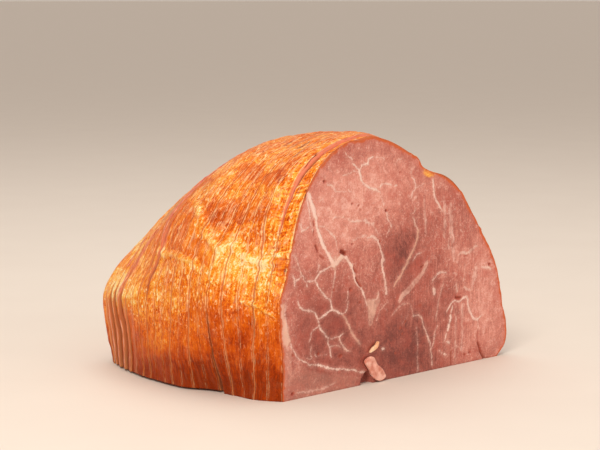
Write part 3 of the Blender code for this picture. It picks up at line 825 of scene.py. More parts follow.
def draw_face(mesh, shape, under_skin):
    """The cut face's fat, painted wet glints, splits, pores and patches: attributes, and how far each is sunk."""
    u, z = shape["across"] * DRAWN, shape["height"] * DRAWN
    places = np.stack([u, np.zeros_like(u), z], 1)
    wander_u = 0.45 * noise(places, 3.8, 51) + 0.28 * noise(places, 1.6, 52)
    wander_z = 0.45 * noise(places, 3.8, 53) + 0.28 * noise(places, 1.6, 54)
    # Strands of fat, and among them the painted highlights, whiter than 1
    fat, strand = strand_field(u + wander_u, z + wander_z, FAT_AND_GLINTS)
    fat = fat + 0.22 * noise(places, 2.6, 55) + 0.14 * noise(places, 1.1, 56)
    white = np.array([s[1] for s in FAT_AND_GLINTS])[strand]
    tan = np.array([s[2] for s in FAT_AND_GLINTS])[strand]
    hole, which = strand_field(u + 0.6 * wander_u, z + 0.6 * wander_z, SPLITS)
    hole_depth = np.array([s[1] for s in SPLITS])[which]
    for across, up, radius, deep in PORES:
        ragged = radius * (1 + 0.5 * noise(places, 0.9, 57))
        inside = ragged - np.hypot((u - across) * 0.8, z - up)
        hole_depth = np.where(inside > hole, deep, hole_depth)
        hole = np.maximum(hole, inside)
    tone = MEAT_TONE + soft_patches(u + 2.5 * wander_u, z + 2.5 * wander_z, PATCHES)
    tone = tone + 0.06 * noise(places, 9, 61) + 0.04 * noise(places, 4, 62)
    redness = soft_patches(u + 3 * wander_u, z + 3 * wander_z, RED_PATCHES)
    pale = np.zeros(len(u))
    for much, corners in FAT_PATCHES:
        field = outline_field(u + 2 * wander_u, z + 2 * wander_z, corners)
        pale = np.maximum(pale, much * step_up(field, -0.8, 1.0))
    yellow = step_up(outline_field(u, z, YELLOW_FAT) + 0.8 * noise(places, 1.6, 58), -0.6, 0.7)
    on_face = shape["layer"] == 0
    put_attributes(
        mesh, fat=np.where(on_face, fat, -9), white=white, tan=tan, hole=np.where(on_face, hole,
                -9),
        tone=tone, pale=pale, fibres=soft_patches(u, z, UPRIGHT_FIBRES), yellow=yellow,
        slant=soft_patches(u, z, LEANING_FIBRES), redness=redness,
    )  # fmt: skip
    sunk = hole_depth * step_up(hole, -0.3, 0.55)
    hollow, _ = strand_field(u, z, HOLLOW, thin_ends=False)
    sunk = np.maximum(sunk, HOLLOW_DEPTH * step_up(hollow, -0.3, 0.5))
    raised = 0.10 * step_up(fat, -0.4, 0.4) * white
    waves = 0.20 * noise(places, 22, 71) + 0.08 * noise(places, 6, 72) + 0.03 * noise(places, 1.4,
            73)
    return sunk + (waves + 0.2) * step_up(under_skin, 0.0, 3.0) - raised


# ================================================================ materials
def srgb(code):
    """A colour written as a hex code, as the shader's own numbers."""
    values = [int(code[k : k + 2], 16) / 255 for k in (1, 3, 5)]
    return [v / 12.92 if v <= 0.04045 else ((v + 0.055) / 1.055) ** 2.4 for v in values] + [1.0]


def new_material(name):
    """A material with nothing but its shader, and the one function that adds a node to it."""
    material = bpy.data.materials.new(name)
    material.use_nodes = True
    tree = material.node_tree

    def add(kind, *inputs, out=0, **settings):
        """Adds a node. Its inputs are numbers, colour codes or other nodes' outputs, in order."""
        node = tree.nodes.new("ShaderNode" + kind)
        for key, value in settings.items():
            setattr(node, key, value)
        for socket, value in zip([i for i in node.inputs if i.enabled], inputs):
            if isinstance(value, bpy.types.NodeSocket):
                tree.links.new(value, socket)
            elif value is not None:
                socket.default_value = srgb(value) if isinstance(value, str) else value
        return node.outputs[out] if out else next(o for o in node.outputs if o.enabled)

    return material, add


def set_stops(colour, *stops):
    """Fills a colour ramp, given its output, with colour codes at places from 0 to 1."""
    elements = colour.node.color_ramp.elements
    while len(elements) < len(stops):
        elements.new(0.5)
    for element, (at, code) in zip(elements, stops):
        element.position = at
        element.color = srgb(code)


def finish(material, colour, roughness, normal, **sockets):
    """Joins a material's colour, roughness and normal to its shader, and sets the even values."""
    tree = material.node_tree
    shader = tree.nodes["Principled BSDF"]
    tree.links.new(colour, shader.inputs["Base Color"])
    tree.links.new(roughness, shader.inputs["Roughness"])
    tree.links.new(normal, shader.inputs["Normal"])
    for key, value in sockets.items():
        shader.inputs[key.replace("_", " ")].default_value = value
    return material


def per_mm(size):
    """The scale that makes a pattern's lumps this many millimetres across."""
    return 1 / (size * MM)


# Settings that many nodes share
TIMES = {"operation": "MULTIPLY"}
TIMES_PLUS = {"operation": "MULTIPLY_ADD"}
MINUS = {"operation": "SUBTRACT"}
SIZE = {"operation": "ABSOLUTE"}
COLOUR = {"data_type": "RGBA"}
SMOOTH = {"interpolation_type": "SMOOTHSTEP"}


def skin_patterns(add):
    """The skin's own fields and its noises, by name. The noises' sizes are in millimetres."""
    place = add("TexCoord", out="Object")
    fields = (
        "warmth", "deep", "bare", "edge", "opened", "around", "through", "wrinkle", "own", "stepped",
        "foot",
    )  # fmt: skip
    p = SimpleNamespace(**{name: add("Attribute", out="Fac",
            attribute_name=name) for name in fields})
    p.up = add("SeparateXYZ", place, out=2)
    p.fleck = add("TexNoise", place, per_mm(2.2), 4.0, 0.72, 2.0, 0.6)
    p.grain = add("TexNoise", place, per_mm(0.75), 2.0, 0.7)
    p.cloud = add("TexNoise", place, per_mm(9.0), 2.0, 0.55, 2.0, 0.4)
    # On the unrolled skin: how wide the marks are across the cuts, how long along them, and how far
    # a pattern is shifted so that it differs from the others. Each slice has its own part of each
    unrolled = add("CombineXYZ", p.through, p.around, p.own)
    for name, wide, long, shift, *rest in (
        ("streak", 0.8, 7.0, 0.0, 3.0, 0.65),
        ("crumb", 1.3, 2.4, 0.0, 3.0, 0.72, 2.0, 0.6),
        ("band", 2.2, 20.0, 0.0, 2.0, 0.45, 2.0, 0.3),
        ("dashes", STEP, 5.0, 0.0, 3.0, 0.65),
        ("ripple", 6.0, 1.3, 0.0, 2.0, 0.55),
        ("rosy", 2.6, 24.0, 9.0, 2.0, 0.5),
    ):
        laid = add("Mapping", unrolled, (0.0, 0.0, shift), None, (1 / wide, 1 / long, 1.0))
        setattr(p, name, add("TexNoise", laid, 1.0, *rest))
    # Near the cut face, high up, the skin is rippled across the cuts
    near_face = add("MapRange", p.through, 24.0, 4.0, **SMOOTH)
    high_up = add("MapRange", p.up, 52 * MM, 64 * MM, **SMOOTH)
    much = add("Math", near_face, high_up, **TIMES)
    p.rippled = add("Math", add("Math", p.ripple, 0.5, **MINUS), much, **TIMES)
    # How clearly the threads and the pale sides of the cuts show: less so low down
    p.showing = add("MapRange", p.up, 30 * MM, 66 * MM, 0.18, 1.0, **SMOOTH)
    return p


def golden_skin(add, p):
    """The skin's ground: brown over deep orange to pale gold, and how crumbly it is."""
    border = add("Math", p.deep, 2.1, **MINUS)
    border = add("Math", p.fleck, 4.2, border, **TIMES_PLUS)
    rubbed = add("MapRange", border, -0.35, 0.55, **SMOOTH)
    raised = add("MapRange", p.wrinkle, -0.8, 0.6, **SMOOTH)
    # The golden parts are crumbly; the deep orange and the brown parts are smooth
    smooth = add("Math", rubbed, -0.45, 1.0, **TIMES_PLUS)
    crumbly = add("MapRange", p.warmth, 0.32, 0.60, 0.30, 1.0, **SMOOTH)
    crumbly = add("Math", crumbly, smooth, **TIMES)
    crumbs = add("Math", p.grain, 0.8, -1.15, **TIMES_PLUS)
    crumbs = add("Math", p.crumb, 1.5, crumbs, **TIMES_PLUS)
    value = add("Math", crumbs, crumbly, p.warmth, **TIMES_PLUS)
    for pattern, much in ((p.cloud, 0.5), (p.streak, 0.55)):
        value = add("Math", value, 0.5 * much, **MINUS)
        value = add("Math", pattern, much, value, **TIMES_PLUS)
    for pattern, much in ((p.rippled, 1.2), (rubbed, -0.14), (raised, 0.14)):
        value = add("Math", pattern, much, value, **TIMES_PLUS)
    colour = add("ValToRGB", value)
    set_stops(
        colour, (0.0, "#701C00"), (0.14, "#A03303"), (0.30, "#C95107"), (0.46, "#E46F12"),
        (0.62, "#F28C22"), (0.78, "#F9AE3C"), (0.92, "#FCD070"), (1.0, "#FEE8AE"),
    )  # fmt: skip
    return colour, crumbly


def marked_skin(add, p, colour, crumbly):
    """Lays over it what the smoke and the knife left, with painted glints and shade: rosy streaks, flecks, threads,
    bare meat, a darker foot.
    """
    # Salmon pink streaks where a cut has opened the skin, more of them farther back
    farther = add("MapRange", p.through, 40.0, 85.0, 0.15, 0.55)
    rosy = add("Math", add("MapRange", p.rosy, 0.56, 0.68), farther, **TIMES)
    # Cream flecks on the crumbly parts, but not at the foot: pale crumbs and painted glints
    cream_and_glints = add("Math", add("MapRange", p.crumb, 0.58, 0.66), crumbly, **TIMES)
    above_foot = add("MapRange", p.up, 14 * MM, 40 * MM, 0.0, 0.82)
    cream_and_glints = add("Math", cream_and_glints, above_foot, **TIMES)
    # Threads along the cuts, dark and pale: lines where the bands cross a level; the pale ones partly painted glints
    lines = []
    for level, shown in ((0.60, (0.56, 0.42, 0.0, 0.26)), (0.5, (0.42, 0.60, 0.05, 0.36))):
        line = add("Math", add("Math", p.band, level, **MINUS), **SIZE)
        line = add("MapRange", line, 0.05, 0.01)
        line = add("Math", line, add("MapRange", p.dashes, *shown), **TIMES)
        lines.append(add("Math", line, p.showing, **TIMES))
    # The foot of the ham is smoother and a deeper, cleaner orange brown, partly painted shade
    low_down = add("MapRange", p.up, 26 * MM, 4 * MM, 0.0, 0.6)
    meat = add("Mix", add("MapRange", p.streak, 0.38, 0.62), "#C54B3C", "#EE8A70", **COLOUR)
    meaty = add("Math", p.fleck, 1.0, 0.3, **TIMES_PLUS)
    meaty = add("Math", p.bare, meaty, **TIMES, use_clamp=True)
    for cover, coat in (
        (rosy, "#EC7C50"), (cream_and_glints, "#FEEBC6"), (lines[0], "#C04C0A"), (lines[1], "#FFE0AE"),
        (low_down, "#9C3400"), (meaty, meat),
    ):  # fmt: skip
        colour = add("Mix", cover, colour, coat, **COLOUR)
    return colour


def cut_skin(add, p, colour):
    """Lays the cuts over it: thin dark lines with pale, broken sides, of which some gape. The dark lines and the
    gaps' depths are painted shade, the pale sides partly painted highlight.
    """
    frayed = add("Math", p.edge, 0.25, **MINUS)
    frayed = add("Math", p.grain, 0.5, frayed, **TIMES_PLUS)
    # Beside each cut a brown line of painted shade, then the skin's pale underside with a painted highlight on its
    # edge, both broken into dashes
    sides = []
    for away, wide, shown in (
        (1.05, (0.4, 0.1), (0.60, 0.44, 0.0, 0.40)),
        (0.42, (0.34, 0.08), (0.42, 0.58, 0.05, 0.80)),
    ):
        side = add("Math", add("Math", frayed, away, **MINUS), **SIZE)
        dashed = add("MapRange", p.dashes, *shown)
        sides.append(add("Math", add("MapRange", side, *wide), dashed, **TIMES))
    brown, pale = sides
    pale_shown = add("Math", p.showing, 0.8, 0.15, **TIMES_PLUS)
    pale = add("Math", pale, pale_shown, **TIMES)
    # Open cuts gape: their lining is painted dark brown low down, the shade deep in the gap, and salmon pink meat
    # high up
    gaping = add("Math", add("MapRange", frayed, 0.50, 0.12), p.opened, **TIMES)
    gaping = add("Math", gaping, 0.8, **TIMES)
    gap_lining_with_shade = add("MapRange", p.up, 42 * MM, 70 * MM)
    gap_lining_with_shade = add("Mix", gap_lining_with_shade, "#86341A", "#F08A70", **COLOUR)
    # Closed cuts: a thin dark line of painted shade in the seam, broken into dashes
    shut_seam_shade = add("MapRange", frayed, 0.24, 0.04)
    for fade in (
        add("Math", p.opened, -0.7, 0.9, **TIMES_PLUS),
        add("MapRange", p.dashes, 0.58, 0.42, 0.15, 0.85),
        add("MapRange", p.warmth, 0.52, 0.74, 1.0, 0.35),
    ):
        shut_seam_shade = add("Math", shut_seam_shade, fade, **TIMES)
    # The stepped slices bare a tan edge of meat, over a painted shadow at the foot of the step
    tan = add("Mix", add("MapRange", p.streak, 0.40, 0.62), "#D27C50", "#F4B292", **COLOUR)
    bared = add("Math", p.fleck, 1.0, 0.35, **TIMES_PLUS)
    bared = add("Math", p.stepped, bared, **TIMES, use_clamp=True)
    shadow = add("Math", p.foot, 0.85, **TIMES)
    for cover, coat in (
        (brown, "#B84A0C"), (pale, "#FEDFAA"), (gaping, gap_lining_with_shade), (shut_seam_shade, "#AC4412"), (bared, tan),
        (shadow, "#8E3408"),
    ):  # fmt: skip
        colour = add("Mix", cover, colour, coat, **COLOUR)
    return colour


def smoked_skin():
    """Pork skin, cured and smoked: crumbly gold, rubbed to deep orange, brown low down partly as painted shade,
    moist, with painted glints and painted shade at its cuts.
    """
    material, add = new_material("smoked_ham_skin")
    p = skin_patterns(add)
    colour = marked_skin(add, p, *golden_skin(add, p))
    height = add("Math", p.grain, 0.5, **TIMES)
    for pattern, much in ((p.crumb, 1.0), (p.streak, 0.8), (p.rippled, 0.8)):
        height = add("Math", pattern, much, height, **TIMES_PLUS)
    return finish(
        material, cut_skin(add, p, colour), add("Math", p.fleck, 0.25, 0.30, **TIMES_PLUS),
        normal=add("Bump", 1.0, 0.7 * MM, None, height),
        # The glaze is fatty and amber, so its shine is warm
        Specular_IOR_Level=0.16, Specular_Tint=srgb("#FFC98A"), Coat_Weight=0.05, Coat_Roughness=0.12,
        Subsurface_Weight=0.06, Subsurface_Radius=(1.0, 0.32, 0.1), Subsurface_Scale=0.0012,
    )  # fmt: skip


def pink_flesh(add, p):
    """The meat's ground: pink, mottled and fibrous, redder where the cure has taken more."""
    value = p.tone
    for pattern, much in ((p.mottle, 0.70), (p.grain, 0.75)):
        value = add("Math", value, 0.5 * much, **MINUS)
        value = add("Math", pattern, much, value, **TIMES_PLUS)
    # Muscle fibres stand upright on the right, 0.8 mm across, and lean in the dark middle
    upright = add("Math", p.fibres, 0.8, 0.12, **TIMES_PLUS)
    for fibre, much in ((p.fibre, upright), (p.leaning, p.slant)):
        fibre = add("Math", add("Math", fibre, 0.5, **MINUS), much, **TIMES)
        value = add("Math", value, fibre, operation="ADD")
    colour = add("ValToRGB", value)
    set_stops(
        colour, (0.0, "#76332A"), (0.25, "#9E5245"), (0.5, "#BE6F60"), (0.75, "#DB9080"),
        (1.0, "#F0B8AA"),
    )  # fmt: skip
    cured = add("MapRange", add("TexNoise", p.place, per_mm(9.0), 3.0, 0.6, 2.0, 0.5), 0.48, 0.66)
    cured = add("Math", cured, 0.36, p.redness, **TIMES_PLUS)
    specks = add("MapRange", add("TexNoise", p.place, per_mm(1.1), 2.0, 0.8), 0.58, 0.72)
    specks_shown = add("MapRange", p.tone, 0.20, 0.42, 0.08, 0.46)
    specks = add("Math", specks, specks_shown, **TIMES)
    # Faint marbling, finer than the strands that are drawn: thin lines some 8 mm apart, in places
    vein = add("TexNoise", p.place, per_mm(8.0), 4.0, 0.62, 2.0, 0.8)
    vein = add("Math", add("Math", vein, 0.5, **MINUS), **SIZE)
    vein = add("MapRange", vein, 0.022, 0.004)
    for fade in (
        add("MapRange", p.mottle, 0.46, 0.60, 0.0, 0.34),
        add("MapRange", p.tone, 0.25, 0.5),
    ):
        vein = add("Math", vein, fade, **TIMES)
    for cover, coat in ((cured, "#B8503F"), (specks, "#F2CCC0"), (vein, "#F6D6CA")):
        colour = add("Mix", cover, colour, coat, **COLOUR)
    return colour


def cut_meat():
    """Cured pork, cut: pink and fibrous, with pale fat, small holes and painted wet glints, moist, skin at its rim.
    """
    material, add = new_material("cured_meat_cut_face")
    fields = (
        "tone", "fat", "white", "tan", "hole", "pale", "yellow", "under_skin", "fibres", "slant",
        "redness",
    )  # fmt: skip
    p = SimpleNamespace(**{name: add("Attribute", out="Fac",
            attribute_name=name) for name in fields})
    p.place = add("TexCoord", out="Object")
    p.mottle = add("TexNoise", p.place, per_mm(4.0), 4.0, 0.62, 2.0, 0.6)
    p.grain = add("TexNoise", p.place, per_mm(0.9), 3.0, 0.72)
    turned = add("Mapping", p.place, None, (0.0, math.radians(35), 0.0), (1.0, 1.0, 1.0))
    p.fibre, p.leaning = (
        add("TexNoise", add("Mapping", way, None, None, (per_mm(0.9), per_mm(4), per_mm(9))), 1.0,
                3.0, 0.6)
        for way in (p.place, turned))  # fmt: skip
    colour = pink_flesh(add, p)
    # The strands: fat, and the whitest of them painted highlights
    wavering = add("Math", p.fat, 0.9, **MINUS)
    wavering = add("Math", p.grain, 1.8, wavering, **TIMES_PLUS)
    halo = add("MapRange", wavering, -2.0, 0.2, **SMOOTH)
    halo = add("Math", add("Math", halo, p.white, **TIMES), 0.22, **TIMES)
    broken = add("Math", p.white, 0.95, **MINUS)
    broken = add("Math", p.mottle, 1.8, broken, **TIMES_PLUS, use_clamp=True)
    strand = add("MapRange", wavering, -0.26, 0.52, **SMOOTH)
    strand = add("Math", strand, broken, **TIMES)
    bitten = add("Math", p.hole, 0.6, **MINUS)
    bitten = add("Math", p.grain, 1.2, bitten, **TIMES_PLUS)
    rind = add("Math", p.under_skin, 2.0, **MINUS)
    rind = add("Math", p.mottle, 4.0, rind, **TIMES_PLUS)
    fat = add("Mix", p.tan, "#F4D2C6", "#DBA28A", **COLOUR)
    gold = add("Mix", add("MapRange", p.grain, 0.42, 0.60), "#EE8E28", "#FFCE62", **COLOUR)
    for cover, coat in (
        (halo, "#E6B0A0"),
        (strand, fat),
        (add("Math", p.pale, 0.85, **TIMES), "#EEC3AE"),
        (add("MapRange", bitten, -0.5, 0.1, 0.0, 0.75), "#B04C34"),
        (add("MapRange", bitten, 0.05, 0.5, 0.0, 0.8), "#8A2A16"),
        (p.yellow, gold),
        (add("MapRange", rind, 3.6, 0.6, 0.0, 0.30), "#D56A4E"),
        (add("MapRange", rind, 1.4, 0.6, 0.0, 0.92), "#CC5A1C"),
    ):
        colour = add("Mix", cover, colour, coat, **COLOUR)
    height = add("Math", p.fibre, 0.6, **TIMES)
    for pattern, much in ((p.grain, 0.9), (strand, 0.6)):
        height = add("Math", pattern, much, height, **TIMES_PLUS)
    return finish(
        material, colour, add("Math", p.mottle, 0.3, 0.28, **TIMES_PLUS),
        normal=add("Bump", 1.0, 0.24 * MM, None, height),
        Specular_IOR_Level=0.4, Coat_Weight=0.10, Coat_Roughness=0.2, Subsurface_Weight=0.10,
        Subsurface_Radius=(1.0, 0.4, 0.25), Subsurface_Scale=0.0015,
    )  # fmt: skip


def sliced_meat():
    """Cured pork between the slices, where only the edges show: pink under a pale, fatty rim."""
    material, add = new_material("cured_meat_between_slices")
    place = add("TexCoord", out="Object")
    under, opened = (add("Attribute", out="Fac", attribute_name=name) for name in ("under_skin",
            "opened"))
    mottle = add("TexNoise", place, per_mm(3.0), 3.0, 0.6)
    grain = add("TexNoise", place, per_mm(0.9), 2.0, 0.6)
    colour = add("ValToRGB", mottle)
    set_stops(colour, (0.2, "#9C4628"), (0.5, "#C87446"), (0.8, "#E09A72"))
    rind = add("Math", mottle, 1.2, add("Math", under, 0.6, **MINUS), **TIMES_PLUS)
    # An open cut is salmon pink high up; low down it is painted dark brown, the shade deep in the gap
    high_up = add("MapRange", add("SeparateXYZ", place, out=2), 42 * MM, 70 * MM)
    gap_colour_with_shade = add("Mix", high_up, "#8C3E26", "#F09A80", **COLOUR)
    edge_colour = add("Mix", opened, "#DE9A68", gap_colour_with_shade, **COLOUR)
    colour = add("Mix", add("MapRange", rind, 2.8, 1.2), colour, edge_colour, **COLOUR)
    colour = add("Mix", add("MapRange", rind, 0.45, 0.15, 0.0, 0.7), colour, "#DE8A48", **COLOUR)
    return finish(
        material, colour, add("Math", mottle, 0.2, 0.30, **TIMES_PLUS),
        normal=add("Bump", 1.0, 0.15 * MM, None, grain),
        Specular_IOR_Level=0.4, Coat_Weight=0.1, Coat_Roughness=0.2, Subsurface_Weight=0.1,
        Subsurface_Radius=(1.0, 0.4, 0.25), Subsurface_Scale=0.002,
    )  # fmt: skip


def scrap_meat(name, pale, deep):
    """A thin scrap of cured meat or of fat: softly mottled and moist."""
    material, add = new_material(name)
    place = add("TexCoord", out="Object")
    mottle = add("TexNoise", place, per_mm(3.6), 2.0, 0.5)
    grain = add("TexNoise", place, per_mm(0.8), 2.0, 0.6)
    value = add("Math", mottle, 0.125, **MINUS)
    value = add("Math", grain, 0.25, value, **TIMES_PLUS)
    colour = add("ValToRGB", value)
    set_stops(colour, (0.32, deep), (0.62, pale))
    return finish(
        material, colour, add("Math", mottle, 0.2, 0.30, **TIMES_PLUS),
        normal=add("Bump", 1.0, 0.12 * MM, None, value),
        Specular_IOR_Level=0.4, Coat_Weight=0.12, Coat_Roughness=0.2, Subsurface_Weight=0.2,
        Subsurface_Radius=(1.0, 0.5, 0.35), Subsurface_Scale=0.002,
    )  # fmt: skip


def pale_floor():
    """A painted floor: pale, matt and even."""
    material, add = new_material("pale_painted_floor")
    tint = add("TexNoise", add("TexCoord", out="Object"), per_mm(60), 2.0)
    colour = add("Mix", tint, "#E0D7CE", "#E4DCD3", **COLOUR)
    rough = add("Math", tint, 0.1, 0.65, **TIMES_PLUS)
    return finish(material, colour, rough, add("Bump", 0.1, 0.1 * MM, None, tint))


# ================================================================ making the pieces
def lay_materials(mesh, grid_layer):
    """The rim takes a piece's first material, its front the second and its back the third."""
    corners = np.empty(len(mesh.loops), np.int32)
    mesh.loops.foreach_get("vertex_index", corners)
    starts = np.empty(len(mesh.polygons), np.int32)
    mesh.polygons.foreach_get("loop_start", starts)
    highest = np.maximum.reduceat(grid_layer[corners], starts)
    lowest = np.minimum.reduceat(grid_layer[corners], starts)
    slots = np.where(highest == lowest, np.where(highest == 0, 1, 2), 0)
    mesh.polygons.foreach_set("material_index", slots.astype(np.int32))


def make_slice(number):
    """One slice. The first has the cut face; the others show little more than their skin."""
    first = number == 1
    columns, rows = FACE_GRID if first else SLICE_GRID
    bm = block(columns, rows, len(layer_depths(STEP)) - 1, closed_back=False)
    face = meat_material if first else between_material
    piece, grid = written(bm, f"ham_slice_{number:02d}", (skin_material, face, between_material))
    mesh = piece.data
    shape = shape_slice(number, grid, spread=0.0 if first else 0.85)
    under_skin = under_the_skin(shape)
    depth, height = shape["depth"], shape["height"]
    if first:
        sunk = draw_face(mesh, shape, under_skin)
        pushed_in = np.where(shape["rim"], np.minimum(sunk, HOLLOW_DEPTH), 0)
        behind = np.maximum(np.maximum(depth, 0), pushed_in)
        depth = np.where(shape["layer"] == 0, np.maximum(sunk, 0.0), behind)
    put_skin(mesh, shape, arc_lengths(grid, shape["across"], height), depth, number)
    put_attributes(mesh, under_skin=under_skin)
    put_points(mesh, shape["across"], depth, height)
    lay_materials(mesh, grid[:, 2])
    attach(piece, "root")
    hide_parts(f"slice_{number:02d}")


def put_skin(mesh, shape, around, along, number):
    """The skin's colour fields, for every point of a piece, and where it lies on the flat."""
    depth, height = shape["depth"], shape["height"]
    places = np.stack([shape["across"], depth, height], 1)
    low_left = step_up(height, *STEPPED_BELOW) * step_up(around, *STEPPED_AROUND)
    bared = np.clip((3.3 - shape["from_front"]) / 1.5, 0, 1)
    # A painted shadow at the foot of a step, on the back edge of the slice in front of a stepped one
    shadow = np.clip(1 - (STEP - shape["from_front"]) / 1.2, 0, 1)
    put_attributes(
        mesh, warmth=skin_warmth(depth, height, places) + own_warmth[number],
        deep=deep_patches(depth, height, places), bare=bare_patches(depth, height, places),
        edge=shape["from_cut"], opened=shape["opened"], around=around, through=along,
        wrinkle=shape["in_wrinkle"], own=np.full_like(depth, OWN_PATTERN * number),
        stepped=STEPPED.get(number, 0.0) * low_left * bared,
        foot=STEPPED.get(number + 1, 0.0) * low_left * shadow,
    )  # fmt: skip


def carry_over_back(around, along, across, height, rim, on_back):
    """Carries the skin's pattern over the end's back, by each point's bearing from the middle."""
    bearing, reach = np.arctan2(across, height), np.hypot(across, height)
    by_bearing = np.flatnonzero(rim)[np.argsort(bearing[rim])]
    around[on_back] = np.interp(bearing[on_back], bearing[by_bearing], around[by_bearing])
    to_rim = np.interp(bearing[on_back], bearing[by_bearing], reach[by_bearing])
    along[on_back] += to_rim - reach[on_back]


def make_end_piece():
    """The uncut end: its skin rounds over behind the last slice."""
    columns, rows, layers = END_GRID
    bm = block(columns, rows, layers, closed_back=True)
    piece, grid = written(bm, "ham_end_piece", (skin_material, between_material, skin_material))
    mesh = piece.data
    column, row, layer = grid.T
    start = SLICES * STEP + GAP / 2
    turn = END_TURN * layer / layers
    shrink = np.where(layer == 0, 1.0, END_NARROW + (1 - END_NARROW) * np.cos(turn))
    depth = start + (END_DEPTH - start) * np.sin(turn) / math.sin(END_TURN)
    level = level_of(row / rows)
    left, right = both_sides(STATIONS, depth, level)
    across = left + (right - left) * column / columns
    height = crown_height(STATIONS, depth) * level
    halfway = np.full_like(level, 0.4)
    middle = 0.5 * (left_side(STATIONS, depth, halfway) + right_side(STATIONS, depth, halfway))
    half = 0.45 * crown_height(STATIONS, depth)
    across = middle + (across - middle) * shrink
    height = half + (height - half) * shrink
    places = np.stack([across, depth, height], 1)
    skin = (layer > 0) | (column == 0) | (column == columns) | (row == rows)
    relief = np.where(skin, skin_relief(places), 0.0)
    away = outward(across, height, middle, half)
    facing = np.sin(turn)
    low_down = np.clip(height / 5, 0, 1)
    border = np.minimum(across - left, right - across)
    shape = dict(across=across, depth=depth, height=height, from_cut=np.where(layer == 0, 0.0, 3.0),
                 opened=np.zeros_like(depth), in_wrinkle=np.full_like(depth, -9.0),
                 from_front=np.full_like(depth, STEP))  # fmt: skip
    profile = np.array([[depth[layer == k].mean(),
            55 * shrink[layer == k].mean()] for k in range(1, layers + 1)])
    walked = np.concatenate([[0, 0], np.cumsum(np.linalg.norm(np.diff(profile, axis=0), axis=1))])
    around, along = arc_lengths(grid, across, height), start + walked[layer]
    on_back = (layer == layers) & (column > 0) & (column < columns) & (row > 0) & (row < rows)
    rim = (layer == layers) & ~on_back
    carry_over_back(around, along, across - middle, height - half, rim, on_back)
    put_skin(mesh, shape, around, along, SLICES + 1)
    put_attributes(mesh, under_skin=np.maximum(0, border))
    across = across + relief * away[:, 0] * (1 - facing)
    height = height + relief * away[:, 1] * (1 - facing) * low_down
    depth = depth + np.where(layer > 0, relief * facing, 0)
    put_points(mesh, across, depth, np.maximum(height, 0.0))
    lay_materials(mesh, layer)
    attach(piece, "root")
    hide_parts("end_piece")


def make_scrap(node, name, material, voxel, lumps):
    """A scrap from its solid: remeshed finely, softened and given lumps."""
    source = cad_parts[node]
    bm = bmesh.new()
    bm.from_mesh(source.data)
    bmesh.ops.remove_doubles(bm, verts=bm.verts, dist=1e-6)
    mesh = bpy.data.meshes.new(name)
    bm.to_mesh(mesh)
    bm.free()
    piece = bpy.data.objects.new(name, mesh)
    bpy.context.scene.collection.objects.link(piece)
    remesh = piece.modifiers.new("even faces", "REMESH")
    remesh.mode = "VOXEL"
    remesh.voxel_size = voxel * MM
    soften = piece.modifiers.new("soften", "SMOOTH")
    soften.factor = 0.5
    soften.iterations = 2
    graph = bpy.context.evaluated_depsgraph_get()
    finished = bpy.data.meshes.new_from_object(piece.evaluated_get(graph))
    piece.modifiers.clear()
    piece.data = finished
    finished.name = name
    finished.materials.clear()
    finished.materials.append(material)
    place = np.empty(len(finished.vertices) * 3, np.float32)
    finished.vertices.foreach_get("co", place)
    normal = np.empty(len(finished.vertices) * 3, np.float32)
    finished.vertices.foreach_get("normal", normal)
    points = place.reshape(-1, 3) / MM
    out = lumps * noise(points, 3.6, 81) + 0.25 * lumps * noise(points, 1.2, 82)
    points = points + normal.reshape(-1, 3) * out[:, None]
    points = np.clip(points * MM, *cad_box)
    finished.vertices.foreach_set("co", points.astype(np.float32).ravel())
    finished.shade_smooth()
    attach(piece, "root")
    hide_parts(node)


draw = random.Random(SEED)
sideways = {number: draw.uniform(-JITTER, JITTER) for number in range(1, SLICES + 1)}
own_warmth = {number: draw.uniform(-TINT, TINT) for number in range(1, SLICES + 2)}
skin_material = smoked_skin()
meat_material = cut_meat()
between_material = sliced_meat()
for slice_number in range(1, SLICES + 1):
    make_slice(slice_number)
make_end_piece()
make_scrap("meat_flap", "ham_scrap", scrap_meat("salmon_pink_scrap", "#F0B8A6", "#D07E6A"), 0.3,
        0.35)
make_scrap("fat_chip", "fat_scrap", scrap_meat("peach_fat_scrap", "#F8D6B2", "#EBAE84"), 0.2, 0.15)


# ================================================================ floor, light and camera
FLOOR_SIZE = 400.0
TARGET = (0.0, 0.0, 0.06)
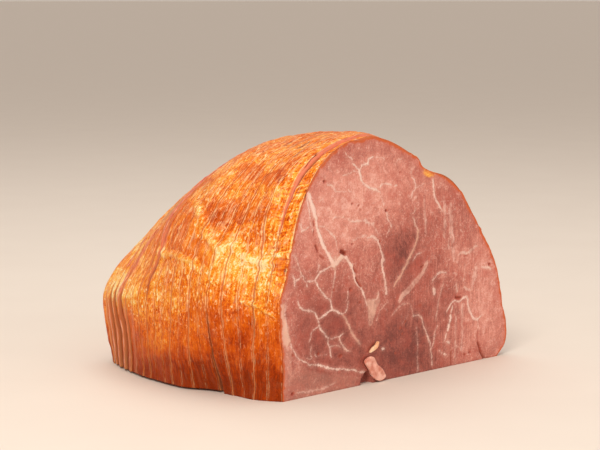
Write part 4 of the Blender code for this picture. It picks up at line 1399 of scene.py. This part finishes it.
# The camera's place, its bearing and downward tilt in degrees, its lens and its sensor
CAMERA_PLACE = (-0.6149, -0.6684, 0.1936)
CAMERA_AZIMUTH = 42.88
CAMERA_DOWN = 7.54
CAMERA_LENS = 102.0
SENSOR_WIDTH = 36.0


def make_floor():
    """A floor that reaches the horizon."""
    bm = bmesh.new()
    bmesh.ops.create_grid(bm, x_segments=1, y_segments=1, size=FLOOR_SIZE)
    mesh = bpy.data.meshes.new("floor")
    bm.to_mesh(mesh)
    bm.free()
    mesh.materials.append(pale_floor())
    floor = bpy.data.objects.new("floor", mesh)
    bpy.context.scene.collection.objects.link(floor)


def soft_light(name, place, target, size, watts, colour):
    """A soft box that shines at a target."""
    lamp = bpy.data.lights.new(name, "AREA")
    lamp.shape = "RECTANGLE"
    lamp.size, lamp.size_y = size
    lamp.energy = watts
    lamp.color = srgb(colour)[:3]
    light = bpy.data.objects.new(name, lamp)
    light.location = place
    light.rotation_euler = (Vector(target) - Vector(place)).to_track_quat("-Z", "Y").to_euler()
    bpy.context.scene.collection.objects.link(light)


make_floor()
soft_light("window", (-0.95, -0.55, 0.95), TARGET, (0.45, 0.45), 10.0, "#FFF4E6")
soft_light("front_fill", (0.35, -1.3, 0.55), TARGET, (1.0, 0.8), 3.5, "#FFF6EE")
soft_light("overhead", (0.1, 0.25, 1.2), TARGET, (0.9, 0.9), 5.0, "#FFFAF4")

world = bpy.data.worlds.new("pale_room")
bpy.context.scene.world = world
world.use_nodes = True
world.node_tree.nodes["Background"].inputs["Color"].default_value = srgb("#F6E9DD")
world.node_tree.nodes["Background"].inputs["Strength"].default_value = 0.68
bpy.context.scene.view_settings.view_transform = "Standard"

camera_data = bpy.data.cameras.new("camera")
camera_data.lens = CAMERA_LENS
camera_data.sensor_width = SENSOR_WIDTH
camera = bpy.data.objects.new("camera", camera_data)
camera.location = CAMERA_PLACE
camera.rotation_euler = (math.radians(90 - CAMERA_DOWN), 0, math.radians(-CAMERA_AZIMUTH))
bpy.context.scene.collection.objects.link(camera)
bpy.context.scene.camera = camera
